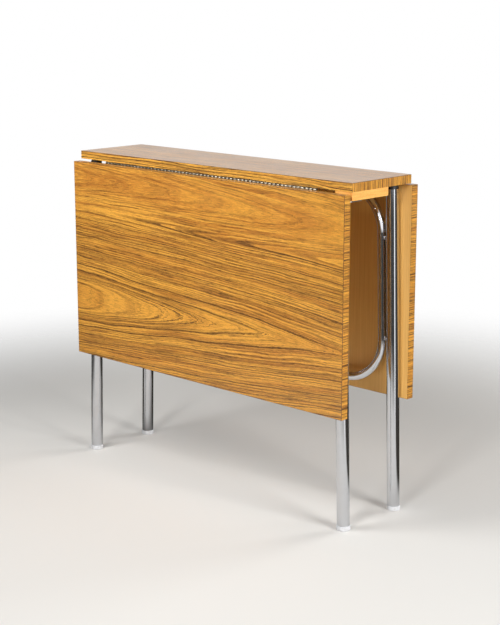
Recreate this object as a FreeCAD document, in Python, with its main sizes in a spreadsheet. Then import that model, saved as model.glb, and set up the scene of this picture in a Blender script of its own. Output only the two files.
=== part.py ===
import FreeCAD, Part
import math
import os
import Sketcher
from FreeCAD import Placement, Rotation, Vector

# Butterfly folding table: a narrow centre board on four tubular legs, with two drop leaves on
# piano hinges. Two legs are fixed under the end battens. The other two are gates: each swings
# on an upright post in the middle and carries a raised leaf.
#
# Frame: millimetres, +Z up, origin on the floor under the middle of the centre board,
# +X along the table's length, -Y the front leaf, +Y the rear leaf.
# The whole table is unchanged by half a turn about Z, so one set of leg parts serves twice.

# ---------------------------------------------------------------- driving dimensions
SIZES = {
    # top
    "table_height": 750.0,
    "top_length": 850.0,
    "centre_width": 195.0,
    "leaf_depth": 472.0,
    "board_thickness": 19.0,
    "laminate": 0.8,
    "edge_band": 0.8,
    "face_bevel": 0.3,
    # piano hinges
    "hinge_length": 664.0,
    "hinge_drop": 4.0,
    "open_gap": 1.0,
    "knuckle_pitch": 11.7,
    "knuckle_radius": 3.6,
    "knuckle_gap": 0.5,
    "knuckle_pass": 1.0,
    "hinge_pin_radius": 2.0,
    "hinge_play": 0.06,
    "hinge_plate": 1.2,
    "hinge_plate_width": 16.0,
    "hinge_screw_inset": 10.0,
    "hinge_screw_margin": 30.0,
    "hinge_screw_spacing": 100.0,
    # screws
    "screw_radius": 1.75,
    "screw_head_radius": 3.6,
    "screw_head_height": 1.4,
    "screw_depth": 13.0,
    # end battens
    "batten_width": 45.0,
    "batten_height": 18.0,
    "batten_inset": 1.0,
    "batten_reach": 20.0,
    "batten_end_margin": 18.0,
    # legs
    "foot_inset": 19.3,
    "leg_lean": 1.72,
    "leg_diameter": 28.0,
    "leg_wall": 1.5,
    "leaf_clearance": 2.0,
    "foot_cap_diameter": 30.5,
    "foot_cap_height": 10.0,
    "foot_cap_floor": 3.0,
    "foot_cap_round": 1.2,
    "plug_height": 13.5,
    "plug_gap": 1.0,
    "plug_shoulder": 0.8,
    "plug_stem": 22.0,
    "plug_bevel": 3.0,
    "leg_plate_length": 54.0,
    "leg_plate_width": 40.0,
    "leg_plate_thickness": 3.0,
    "plate_round": 6.0,
    "leg_plate_margin": 2.0,
    "leg_plate_edge": 11.0,
    # tube loops, posts and collars
    "loop_diameter": 20.0,
    "loop_bend": 95.0,
    "loop_gap": 4.0,
    "loop_bottom": 285.0,
    "stud_radius": 4.0,
    "stud_inset": 8.0,
    "post_oversize": 2.0,
    "post_wall": 2.0,
    "post_clearance": 1.0,
    "post_plate_length": 56.0,
    "post_plate_width": 45.0,
    "post_plate_thickness": 3.0,
    "post_screw_spread": 20.0,
    "post_screw_near": 2.0,
    "post_screw_far": 24.0,
    "post_cap_diameter": 27.0,
    "post_cap_thickness": 3.0,
    "post_cap_stem": 14.0,
    "collar_wall": 3.0,
    "collar_height": 24.0,
    "collar_play": 0.06,
    "collar_gap": 2.0,
    "collar_rest": 0.5,
}

doc = FreeCAD.newDocument("butterfly_table")
sheet = doc.addObject("Spreadsheet::Sheet", "Sizes")
for row, (alias, size) in enumerate(SIZES.items(), start=1):
    sheet.set(f"A{row}", alias)
    sheet.set(f"B{row}", str(size))
    sheet.setAlias(f"B{row}", alias)
doc.recompute()


def value(expression):
    """The number that an expression of the sheet's sizes gives now."""
    result = sheet.evalExpression(expression)
    return float(result.Value) if hasattr(result, "Value") else float(result)


# ---------------------------------------------------------------- derived heights and places
UNDERSIDE = "(Sizes.table_height - Sizes.board_thickness)"
AXIS_Y = "(Sizes.centre_width / 2 + Sizes.open_gap / 2)"
AXIS_Z = f"({UNDERSIDE} - Sizes.hinge_drop)"
LEAF_INNER_Y = f"({AXIS_Y} + Sizes.hinge_drop)"
LEG_Y = f"({LEAF_INNER_Y} - Sizes.leaf_clearance - Sizes.leg_diameter / 2)"
POST_DIAMETER = "(Sizes.loop_diameter + Sizes.post_oversize)"
POST_Y = f"({AXIS_Y} - Sizes.hinge_plate_width - Sizes.post_clearance - {POST_DIAMETER} / 2)"
FOOT_X = "(Sizes.top_length / 2 - Sizes.foot_inset)"
FOOT_RADIUS = f"sqrt({FOOT_X} ^ 2 + ({LEG_Y} - {POST_Y}) ^ 2)"
FRAME_SIN = f"(({LEG_Y} - {POST_Y}) / {FOOT_RADIUS})"
FRAME_COS = f"({FOOT_X} / {FOOT_RADIUS})"
BATTEN_BOTTOM = f"({UNDERSIDE} - Sizes.batten_height)"
LEG_PLATE_BOTTOM = f"({BATTEN_BOTTOM} - Sizes.leg_plate_thickness)"
POST_PLATE_BOTTOM = f"({UNDERSIDE} - Sizes.post_plate_thickness)"
GATE_TOP = f"({AXIS_Z} - Sizes.knuckle_radius - Sizes.knuckle_pass - Sizes.loop_diameter / 2)"
GATE_BOTTOM = "Sizes.loop_bottom"
STACK_STEP = "(Sizes.collar_height / 2 + Sizes.collar_gap + Sizes.loop_diameter / 2)"
FIXED_TOP = f"({GATE_TOP} - {STACK_STEP})"
FIXED_BOTTOM = f"({GATE_BOTTOM} + {STACK_STEP})"
POST_BOTTOM = f"({GATE_BOTTOM} - Sizes.collar_height / 2 - Sizes.collar_rest)"
COLLAR_DIAMETER = f"({POST_DIAMETER} + 2 * Sizes.collar_play + 2 * Sizes.collar_wall)"
LOOP_OFFSET = "((Sizes.leg_diameter + Sizes.loop_diameter) / 2 + Sizes.loop_gap)"
LEG_BORE_RADIUS = "(Sizes.leg_diameter / 2 - Sizes.leg_wall)"
POST_BORE_RADIUS = f"({POST_DIAMETER} / 2 - Sizes.post_wall)"

LEAN = math.radians(value("Sizes.leg_lean"))
FRAME_ANGLE = math.degrees(math.asin(value(FRAME_SIN)))
LEAN_COS = "cos(Sizes.leg_lean * 1 deg)"
LEAN_TAN = "tan(Sizes.leg_lean * 1 deg)"
FIXED_LEG_TOP = f"({LEG_PLATE_BOTTOM} / {LEAN_COS})"
GATE_LEG_TOP = f"(({UNDERSIDE} - Sizes.plug_gap) / {LEAN_COS} - Sizes.plug_height)"

KNUCKLES = 2 * int(value("Sizes.hinge_length / Sizes.knuckle_pitch") / 2) + 1
KNUCKLE_STEP = f"(Sizes.hinge_length / {KNUCKLES})"
HINGE_SCREW_SPAN = "(Sizes.hinge_length - 2 * Sizes.hinge_screw_margin)"
HINGE_SCREWS = int(value(f"{HINGE_SCREW_SPAN} / Sizes.hinge_screw_spacing")) + 1

FRONT_TURN = 0.0
REAR_TURN = 180.0
FAR = "4 * Sizes.top_length"


# ---------------------------------------------------------------- sketch and feature helpers
def new_body(name, placement=Placement()):
    """A body whose label names the sub-part; several like pieces may share it."""
    body = doc.addObject("PartDesign::Body", name)
    body.Label = name
    body.AllowCompound = True
    body.Placement = placement
    return body


def new_sketch(body, name, plane, offset=None, turn=None):
    """A sketch on one of the body's own origin planes, lifted off it by an expression."""
    sketch = body.newObject("Sketcher::SketchObject", name)
    support = [item for item in body.Origin.OriginFeatures if item.Role == plane]
    sketch.AttachmentSupport = [(support[0], "")]
    sketch.MapMode = "FlatFace"
    if turn is not None:
        sketch.AttachmentOffset = Placement(Vector(), turn)
    if offset is not None:
        sketch.setExpression("AttachmentOffset.Base.z", offset)
    return sketch


def pin_point(sketch, geometry, point, x, y, name):
    """Holds a sketch point at a place given by two expressions."""
    for kind, place, suffix in (("DistanceX", x, "x"), ("DistanceY", y, "y")):
        label = f"{name}_{suffix}"
        row = sketch.addConstraint(
            Sketcher.Constraint(kind, -1, 1, geometry, point, value(place)))
        sketch.renameConstraint(row, label)
        sketch.setExpression(f"Constraints.{label}", place)


def polygon(sketch, corners):
    """A closed outline through corners, each held by two expressions."""
    spots = [Vector(value(x), value(y), 0) for x, y in corners]
    count = len(spots)
    lines = []
    for index in range(count):
        line = Part.LineSegment(spots[index], spots[(index + 1) % count])
        lines.append(sketch.addGeometry(line, False))
    for index in range(count):
        following = lines[(index + 1) % count]
        sketch.addConstraint(Sketcher.Constraint("Coincident", lines[index], 2, following, 1))
    for index, (x, y) in enumerate(corners):
        pin_point(sketch, lines[index], 1, x, y, f"corner{index}")


def rectangle(sketch, x, y, width, height):
    """A rectangle from its low corner and its size, all expressions."""
    x_end = f"({x}) + ({width})"
    y_end = f"({y}) + ({height})"
    polygon(sketch, [(x, y), (x_end, y), (x_end, y_end), (x, y_end)])


def circle(sketch, x, y, radius, name="circle"):
    """A circle whose centre and radius are expressions."""
    centre = Vector(value(x), value(y), 0)
    shape = Part.Circle(centre, Vector(0, 0, 1), value(radius))
    geometry = sketch.addGeometry(shape, False)
    pin_point(sketch, geometry, 3, x, y, name)
    row = sketch.addConstraint(Sketcher.Constraint("Radius", geometry, value(radius)))
    sketch.renameConstraint(row, f"{name}_radius")
    sketch.setExpression(f"Constraints.{name}_radius", radius)


def pad(body, sketch, length, middle=False):
    """Extrudes a sketch along its normal, or evenly to both sides of its plane."""
    feature = body.newObject("PartDesign::Pad", f"{sketch.Name}_pad")
    feature.Profile = sketch
    if middle:
        feature.SideType = "Symmetric"
    feature.setExpression("Length", length)
    doc.recompute()
    return feature


def pocket(body, sketch, length, middle=False, forward=False):
    """Cuts a sketch out of the body: against its normal, along it, or to both sides."""
    before = body.Tip.Shape.Volume
    feature = body.newObject("PartDesign::Pocket", f"{sketch.Name}_pocket")
    feature.Profile = sketch
    if middle:
        feature.SideType = "Symmetric"
    feature.Reversed = forward
    feature.setExpression("Length", length)
    doc.recompute()
    if feature.Shape.Volume > before - 1e-6:
        raise RuntimeError(f"{feature.Name} cuts nothing")
    return feature


def revolve(body, sketch):
    """Turns a half profile drawn right of the sketch's upright axis into a round solid."""
    feature = body.newObject("PartDesign::Revolution", f"{sketch.Name}_turned")
    feature.Profile = sketch
    feature.ReferenceAxis = (sketch, ["V_Axis"])
    feature.Angle = 360.0
    doc.recompute()
    return feature


def repeat_along_x(body, features, span, count):
    """Repeats features evenly over a span along the body's X axis."""
    axis = [item for item in body.Origin.OriginFeatures if item.Role == "X_Axis"]
    pattern = body.newObject("PartDesign::LinearPattern", f"{features[0].Name}_row")
    pattern.Originals = features
    pattern.Direction = (axis[0], [""])
    pattern.setExpression("Length", span)
    pattern.Occurrences = count
    body.Tip = pattern
    doc.recompute()
    return pattern


def turned(turn, placement=Placement()):
    """A placement carried half a turn about the table's upright axis, or left as it is."""
    return Placement(Vector(), Rotation(Vector(0, 0, 1), turn)).multiply(placement)


# ---------------------------------------------------------------- boards
def hinge_screw_x(body, sketch_name, plane, offset, y, radius, depth, forward):
    """A row of pilot holes for one hinge plate, drilled into a board."""
    sketch = new_sketch(body, sketch_name, plane, offset)
    circle(sketch, f"-{HINGE_SCREW_SPAN} / 2", y, radius)
    hole = pocket(body, sketch, depth, forward=forward)
    return repeat_along_x(body, [hole], HINGE_SCREW_SPAN, HINGE_SCREWS)


def make_board(prefix, placement, y_start, depth, z_start, hole_rows, holes):
    """One laminated board: chipboard core, face and backing laminate, and four edge bands.

    hole_rows are the Y places of hinge screws, holes the places of other screws.
    """
    band = "Sizes.edge_band"
    core_y = f"({y_start} + {band})"
    core_depth = f"({depth} - 2 * {band})"
    core_x = f"(-Sizes.top_length / 2 + {band})"
    core_length = f"(Sizes.top_length - 2 * {band})"
    band_height = "(Sizes.board_thickness - Sizes.laminate)"
    core_z = f"({z_start} + Sizes.laminate)"
    core_height = "(Sizes.board_thickness - 2 * Sizes.laminate)"
    face_z = f"({z_start} + Sizes.board_thickness - Sizes.laminate)"
    pilot = "(Sizes.screw_depth - Sizes.hinge_plate)"

    core = new_body(f"{prefix}_core", placement)
    outline = new_sketch(core, f"{prefix}_core_outline", "XY_Plane", core_z)
    rectangle(outline, core_x, core_y, core_length, core_depth)
    pad(core, outline, core_height)

    backing = new_body(f"{prefix}_backing", placement)
    outline = new_sketch(backing, f"{prefix}_backing_outline", "XY_Plane", z_start)
    rectangle(outline, core_x, core_y, core_length, core_depth)
    pad(backing, outline, "Sizes.laminate")

    for board in (core, backing):
        for number, y in enumerate(hole_rows):
            name = f"{board.Name}_hinge_holes{number}"
            hinge_screw_x(board, name, "XY_Plane", z_start, y, "Sizes.screw_radius", pilot, True)
        if holes:
            sketch = new_sketch(board, f"{board.Name}_holes", "XY_Plane", z_start)
            for number, (x, y) in enumerate(holes):
                circle(sketch, x, y, "Sizes.screw_radius", f"hole{number}")
            pocket(board, sketch, "Sizes.screw_depth - Sizes.post_plate_thickness", forward=True)

    face = new_body(f"{prefix}_face", placement)
    outline = new_sketch(face, f"{prefix}_face_outline", "XY_Plane", face_z)
    rectangle(outline, "-Sizes.top_length / 2", y_start, "Sizes.top_length", depth)
    sheet_pad = pad(face, outline, "Sizes.laminate")
    bevel = face.newObject("PartDesign::Chamfer", f"{prefix}_face_bevel")
    bevel.Base = (sheet_pad, [top_face(sheet_pad.Shape)])
    bevel.setExpression("Size", "Sizes.face_bevel")
    doc.recompute()

    long_bands = new_body(f"{prefix}_long_bands", placement)
    for side, y in (("near", y_start), ("far", f"({y_start} + {depth} - {band})")):
        outline = new_sketch(long_bands, f"{prefix}_long_band_{side}", "XY_Plane", z_start)
        rectangle(outline, "-Sizes.top_length / 2", y, "Sizes.top_length", band)
        pad(long_bands, outline, band_height)

    end_bands = new_body(f"{prefix}_end_bands", placement)
    for side, x in (("left", "-Sizes.top_length / 2"), ("right", f"(Sizes.top_length / 2 - {band})")):
        outline = new_sketch(end_bands, f"{prefix}_end_band_{side}", "XY_Plane", z_start)
        rectangle(outline, x, core_y, band, core_depth)
        pad(end_bands, outline, band_height)


def top_face(shape):
    """The name of a solid's highest flat face."""
    heights = [face.CenterOfMass.z for face in shape.Faces]
    return f"Face{heights.index(max(heights)) + 1}"


# ---------------------------------------------------------------- piano hinges
def make_hinge(side, turn):
    """A continuous hinge: two plates with alternate knuckles on one long pin.

    Built in the hinge's own frame, with the pin along X and the fixed plate at -Y, and turned
    a quarter for the plate on the hanging leaf.
    """
    rear_axis = Placement(Vector(0, value(AXIS_Y), value(AXIS_Z)), Rotation())
    at_axis = turned(turn + 180.0, rear_axis)
    on_leaf = at_axis.multiply(Placement(Vector(), Rotation(Vector(1, 0, 0), -90.0)))
    plate_low = "(Sizes.hinge_drop - Sizes.hinge_plate)"
    span = "Sizes.hinge_length"
    reach = "(Sizes.knuckle_radius + Sizes.knuckle_gap)"
    bores = {
        "fixed": "Sizes.hinge_pin_radius",
        "leaf": "(Sizes.hinge_pin_radius + Sizes.hinge_play)",
    }
    plates = {
        "fixed": (at_axis, "-Sizes.hinge_plate_width", 1, (KNUCKLES - 1) // 2, f"-{reach}"),
        "leaf": (on_leaf, "0", 0, (KNUCKLES + 1) // 2, "-2 * Sizes.knuckle_radius"),
    }
    for kind, (placement, plate_y, first, notches, notch_y) in plates.items():
        body = new_body(f"{side}_hinge_{kind}_plate", placement)
        strip = new_sketch(body, f"{side}_{kind}_strip", "YZ_Plane")
        rectangle(strip, plate_y, plate_low, "Sizes.hinge_plate_width", "Sizes.hinge_plate")
        pad(body, strip, span, middle=True)
        barrel = new_sketch(body, f"{side}_{kind}_barrel", "YZ_Plane")
        circle(barrel, "0", "0", "Sizes.knuckle_radius")
        pad(body, barrel, span, middle=True)
        bore = new_sketch(body, f"{side}_{kind}_bore", "YZ_Plane")
        circle(bore, "0", "0", bores[kind])
        pocket(body, bore, FAR, middle=True)
        notch = new_sketch(body, f"{side}_{kind}_notch", "XY_Plane")
        notch_x = f"(-{span} / 2 + {first} * {KNUCKLE_STEP} - Sizes.knuckle_gap / 2)"
        notch_width = f"({KNUCKLE_STEP} + Sizes.knuckle_gap)"
        notch_depth = f"({reach} + 2 * Sizes.knuckle_radius)"
        rectangle(notch, notch_x, notch_y, notch_width, notch_depth)
        cut = pocket(body, notch, FAR, middle=True)
        repeat_along_x(body, [cut], f"2 * {KNUCKLE_STEP} * {notches - 1}", notches)
        screw_y = "-Sizes.hinge_screw_inset" if kind == "fixed" else "Sizes.hinge_screw_inset"
        hole = new_sketch(body, f"{side}_{kind}_hole", "XY_Plane")
        circle(hole, f"-{HINGE_SCREW_SPAN} / 2", screw_y, "Sizes.screw_radius")
        drilled = pocket(body, hole, FAR, middle=True)
        repeat_along_x(body, [drilled], HINGE_SCREW_SPAN, HINGE_SCREWS)

        screws = new_body(f"{side}_hinge_{kind}_screws", placement)
        screw_row(screws, f"-{HINGE_SCREW_SPAN} / 2", screw_y, plate_low, "Sizes.screw_depth",
                  HINGE_SCREW_SPAN, HINGE_SCREWS)

    pin = new_body(f"{side}_hinge_pin", at_axis)
    section = new_sketch(pin, f"{side}_pin_section", "YZ_Plane")
    circle(section, "0", "0", "Sizes.hinge_pin_radius")
    pad(pin, section, span, middle=True)


def screw(body, name, x, y, seat, depth):
    """A pan-head screw driven upwards: the head hangs below its seat."""
    shank = new_sketch(body, f"{name}_shank", "XY_Plane", seat)
    circle(shank, x, y, "Sizes.screw_radius")
    first = pad(body, shank, depth)
    head = new_sketch(body, f"{name}_head", "XY_Plane", f"{seat} - Sizes.screw_head_height")
    circle(head, x, y, "Sizes.screw_head_radius")
    second = pad(body, head, "Sizes.screw_head_height")
    return [first, second]


def screw_row(body, x, y, seat, depth, span, count):
    """A row of like screws along X."""
    repeat_along_x(body, screw(body, body.Name, x, y, seat, depth), span, count)


# ---------------------------------------------------------------- end battens
BATTEN_SCREW_X = "(Sizes.top_length / 2 - Sizes.batten_width / 2)"
BATTEN_FRONT = "(-Sizes.centre_width / 2 + Sizes.batten_inset)"
BATTEN_LENGTH = f"(Sizes.batten_reach - {BATTEN_FRONT})"
LEG_TOP_RADIUS = f"({FOOT_RADIUS} - {LEG_PLATE_BOTTOM} * {LEAN_TAN})"
LEG_TOP_X = f"({LEG_TOP_RADIUS} * {FRAME_COS})"
LEG_TOP_Y = f"({POST_Y} + {LEG_TOP_RADIUS} * {FRAME_SIN})"
LEG_PLATE_X = f"({LEG_TOP_X} - Sizes.leg_diameter / 2 - Sizes.leg_plate_margin)"
LEG_PLATE_Y = f"(-{LEG_TOP_Y} - Sizes.leg_diameter / 2)"
LEG_SCREW_X = f"({LEG_PLATE_X} + Sizes.leg_plate_length - Sizes.leg_plate_edge)"
LEG_SCREW_YS = (f"({LEG_PLATE_Y} + Sizes.leg_plate_edge)",
                f"({LEG_PLATE_Y} + Sizes.leg_plate_width - Sizes.leg_plate_edge)")
BATTEN_SCREW_YS = (f"({BATTEN_FRONT} + {BATTEN_LENGTH} / 2)",
                   "(Sizes.batten_reach - Sizes.batten_end_margin)")


def make_batten(side, turn):
    """A softwood batten under one end: it carries the fixed leg and stops short of the gate."""
    body = new_body(f"{side}_batten", turned(turn))
    outline = new_sketch(body, f"{side}_batten_outline", "XY_Plane", BATTEN_BOTTOM)
    rectangle(outline, "Sizes.top_length / 2 - Sizes.batten_width", BATTEN_FRONT,
              "Sizes.batten_width", BATTEN_LENGTH)
    pad(body, outline, "Sizes.batten_height")
    through = new_sketch(body, f"{side}_batten_through", "XY_Plane", BATTEN_BOTTOM)
    for number, y in enumerate(BATTEN_SCREW_YS):
        circle(through, BATTEN_SCREW_X, y, "Sizes.screw_radius", f"hole{number}")
    pocket(body, through, "Sizes.batten_height", forward=True)
    pilots = new_sketch(body, f"{side}_batten_pilots", "XY_Plane", BATTEN_BOTTOM)
    for number, y in enumerate(LEG_SCREW_YS):
        circle(pilots, LEG_SCREW_X, y, "Sizes.screw_radius", f"hole{number}")
    pocket(body, pilots, "Sizes.screw_depth - Sizes.leg_plate_thickness", forward=True)

    screws = new_body(f"{side}_batten_screws", turned(turn))
    length = "(Sizes.batten_height + Sizes.screw_depth - Sizes.post_plate_thickness)"
    for number, y in enumerate(BATTEN_SCREW_YS):
        screw(screws, f"{side}_batten_screw{number}", BATTEN_SCREW_X, y, BATTEN_BOTTOM, length)


# ---------------------------------------------------------------- legs
def frame_plane(turn, swings):
    """The upright plane of one leg and its loop, with its origin under the post.

    A gate stands on the far side of the centre board from the fixed leg of the same end.
    """
    side = 1 if swings else -1
    swing = Rotation(Vector(0, 0, 1), side * FRAME_ANGLE)
    return turned(turn, Placement(Vector(0, side * value(POST_Y), 0), swing))


def leg_frame(plane):
    """The leaning frame of a leg: its origin is where the leg's axis meets the floor."""
    lean = Rotation(Vector(0, 1, 0), -math.degrees(LEAN))
    return plane.multiply(Placement(Vector(value(FOOT_RADIUS), 0, 0), lean))


def make_leg_tube(name, frame, top, mitre):
    """A straight tube from the foot cap's floor up to a given height along its axis."""
    body = new_body(name, frame)
    section = new_sketch(body, f"{name}_section", "XY_Plane", "Sizes.foot_cap_floor")
    circle(section, "0", "0", "Sizes.leg_diameter / 2", "outside")
    circle(section, "0", "0", LEG_BORE_RADIUS, "bore")
    reach = f"({top}) - Sizes.foot_cap_floor"
    if not mitre:
        pad(body, section, reach)
        return
    pad(body, section, f"{reach} + Sizes.leg_diameter")
    plane = new_sketch(body, f"{name}_mitre", "XZ_Plane")
    side = "Sizes.leg_diameter"
    rise = f"{side} * {LEAN_TAN}"
    polygon(plane, [
        (f"-{side}", f"({top}) + {rise}"),
        (side, f"({top}) - {rise}"),
        (side, f"({top}) + 3 * {side}"),
        (f"-{side}", f"({top}) + 3 * {side}"),
    ])
    pocket(body, plane, FAR, middle=True)


def make_foot_cap(name, plane):
    """A plastic cup with a flat sole and a leaning socket for the tube's end."""
    place = Placement(Vector(value(FOOT_RADIUS), 0, 0), Rotation())
    body = new_body(name, plane.multiply(place))
    half = new_sketch(body, f"{name}_half", "XZ_Plane")
    edge = "Sizes.foot_cap_round"
    outer = "Sizes.foot_cap_diameter / 2"
    rim = "Sizes.foot_cap_height"
    polygon(half, [
        ("0", "0"),
        (f"{outer} - {edge}", "0"),
        (outer, edge),
        (outer, f"{rim} - {edge} / 2"),
        (f"{outer} - {edge} / 2", rim),
        ("0", rim),
    ])
    revolve(body, half)
    tilt = Rotation(Vector(0, 1, 0), -math.degrees(LEAN))
    socket = new_sketch(body, f"{name}_socket", "XY_Plane", turn=tilt)
    floor = value("Sizes.foot_cap_floor")
    socket.AttachmentOffset = Placement(tilt.multVec(Vector(0, 0, floor)), tilt)
    circle(socket, "0", "0", "Sizes.leg_diameter / 2")
    pocket(body, socket, "2 * Sizes.foot_cap_height", forward=True)


def make_leg_plate(side, turn):
    """The steel plate on a fixed leg, screwed under the end batten."""
    body = new_body(f"{side}_leg_plate", turned(turn))
    outline = new_sketch(body, f"{side}_leg_plate_outline", "XY_Plane", LEG_PLATE_BOTTOM)
    rectangle(outline, LEG_PLATE_X, LEG_PLATE_Y, "Sizes.leg_plate_length", "Sizes.leg_plate_width")
    pad(body, outline, "Sizes.leg_plate_thickness")
    round_corners(body, "Sizes.plate_round")
    holes = new_sketch(body, f"{side}_leg_plate_holes", "XY_Plane", LEG_PLATE_BOTTOM)
    for number, y in enumerate(LEG_SCREW_YS):
        circle(holes, LEG_SCREW_X, y, "Sizes.screw_radius", f"hole{number}")
    pocket(body, holes, "Sizes.leg_plate_thickness", forward=True)


def round_corners(body, radius):
    """Rounds a plate's four upright corners."""
    base = body.Tip
    upright = []
    for number, edge in enumerate(base.Shape.Edges, start=1):
        ends = [vertex.Point for vertex in edge.Vertexes]
        if abs(ends[0].z - ends[1].z) > 1e-6:
            upright.append(f"Edge{number}")
    feature = body.newObject("PartDesign::Fillet", f"{body.Name}_corners")
    feature.Base = (base, upright)
    feature.setExpression("Radius", radius)
    doc.recompute()


def make_plug(name, frame):
    """The black plug in a gate leg's top: a stem in the tube and a bevelled head."""
    body = new_body(name, frame)
    half = new_sketch(body, f"{name}_half", "XZ_Plane")
    rim = "(Sizes.leg_diameter / 2 - Sizes.plug_shoulder)"
    tube_end = GATE_LEG_TOP
    head_top = f"({tube_end} + Sizes.plug_height)"
    polygon(half, [
        ("0", f"{tube_end} - Sizes.plug_stem"),
        (LEG_BORE_RADIUS, f"{tube_end} - Sizes.plug_stem"),
        (LEG_BORE_RADIUS, tube_end),
        (rim, tube_end),
        (rim, f"{head_top} - Sizes.plug_bevel"),
        (f"{rim} - Sizes.plug_bevel", head_top),
        ("0", head_top),
    ])
    revolve(body, half)


# ---------------------------------------------------------------- tube loops
def make_loop(name, plane, top, bottom, cope):
    """A bent tube beside a leg: out from the post, down beside the leg and back.

    Its side runs parallel to the leaning leg, and both ends are cut to sit on the post or
    on the collars.
    """
    body = new_body(name, plane)
    path = new_sketch(body, f"{name}_path", "XZ_Plane")
    bend = value("Sizes.loop_bend")
    high = value(top)
    low = value(bottom)
    offset = value(LOOP_OFFSET) / math.cos(LEAN)
    foot = value(FOOT_RADIUS)
    side_high = Vector(foot - offset - (high - bend) * math.tan(LEAN), high - bend, 0)
    side_low = Vector(foot - offset - (low + bend) * math.tan(LEAN), low + bend, 0)
    centre_high = side_high - Vector(bend, 0, 0)
    centre_low = side_low - Vector(bend, 0, 0)
    run_high = Part.LineSegment(Vector(0, high, 0), Vector(centre_high.x, high, 0))
    side = Part.LineSegment(side_high, side_low)
    run_low = Part.LineSegment(Vector(centre_low.x, low, 0), Vector(0, low, 0))
    up = Vector(0, 0, 1)
    bend_high = Part.ArcOfCircle(Part.Circle(centre_high, up, bend), 0, math.pi / 2)
    bend_low = Part.ArcOfCircle(Part.Circle(centre_low, up, bend), -math.pi / 2, 0)
    first, corner_a, flank, corner_b, last = [
        path.addGeometry(item, False)
        for item in (run_high, bend_high, side, bend_low, run_low)]
    leg_axis = path.addGeometry(
        Part.LineSegment(Vector(foot, 0, 0), Vector(foot - high * math.tan(LEAN), high, 0)), True)
    for link in ((first, 2, corner_a, 2), (corner_a, 1, flank, 1),
                 (flank, 2, corner_b, 2), (corner_b, 1, last, 1)):
        path.addConstraint(Sketcher.Constraint("Tangent", *link))
    path.addConstraint(Sketcher.Constraint("Horizontal", first))
    path.addConstraint(Sketcher.Constraint("Horizontal", last))
    path.addConstraint(Sketcher.Constraint("Parallel", flank, leg_axis))
    pin_point(path, first, 1, "0", top, "start")
    pin_point(path, last, 2, "0", bottom, "finish")
    pin_point(path, leg_axis, 1, FOOT_RADIUS, "0", "foot")
    pin_point(path, leg_axis, 2, f"{FOOT_RADIUS} - {top} * {LEAN_TAN}", top, "leg")
    for corner, label in ((corner_a, "bend_high"), (corner_b, "bend_low")):
        row = path.addConstraint(Sketcher.Constraint("Radius", corner, bend))
        path.renameConstraint(row, label)
        path.setExpression(f"Constraints.{label}", "Sizes.loop_bend")
    row = path.addConstraint(
        Sketcher.Constraint("Distance", leg_axis, 1, flank, value(LOOP_OFFSET)))
    path.renameConstraint(row, "offset")
    path.setExpression("Constraints.offset", LOOP_OFFSET)

    section = new_sketch(body, f"{name}_section", "YZ_Plane")
    circle(section, "0", top, "Sizes.loop_diameter / 2")
    sweep = body.newObject("PartDesign::AdditivePipe", f"{name}_sweep")
    sweep.Profile = section
    sweep.Spine = (path, [])
    doc.recompute()
    saddle = new_sketch(body, f"{name}_cope", "XY_Plane")
    circle(saddle, "0", "0", f"{cope} / 2")
    pocket(body, saddle, FAR, middle=True)


def make_studs(name, frame, top, bottom):
    """Two short studs that join a leg to the straight side of its loop."""
    body = new_body(name, frame)
    places = (f"({top} - Sizes.loop_bend - Sizes.stud_inset)",
              f"({bottom} + Sizes.loop_bend + Sizes.stud_inset)")
    for number, height in enumerate(places):
        section = new_sketch(body, f"{name}_section{number}", "YZ_Plane", f"-{LOOP_OFFSET}")
        circle(section, "0", height, "Sizes.stud_radius")
        pad(body, section, LOOP_OFFSET)
    tubes = new_sketch(body, f"{name}_tubes", "XY_Plane")
    circle(tubes, "0", "0", "Sizes.leg_diameter / 2", "leg")
    circle(tubes, f"-{LOOP_OFFSET}", "0", "Sizes.loop_diameter / 2", "loop")
    pocket(body, tubes, FAR, middle=True)


# ---------------------------------------------------------------- posts and collars
POST_SCREWS = [(x, y)
               for x in ("-Sizes.post_screw_spread", "Sizes.post_screw_spread")
               for y in ("Sizes.post_screw_near", "Sizes.post_screw_far")]


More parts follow.
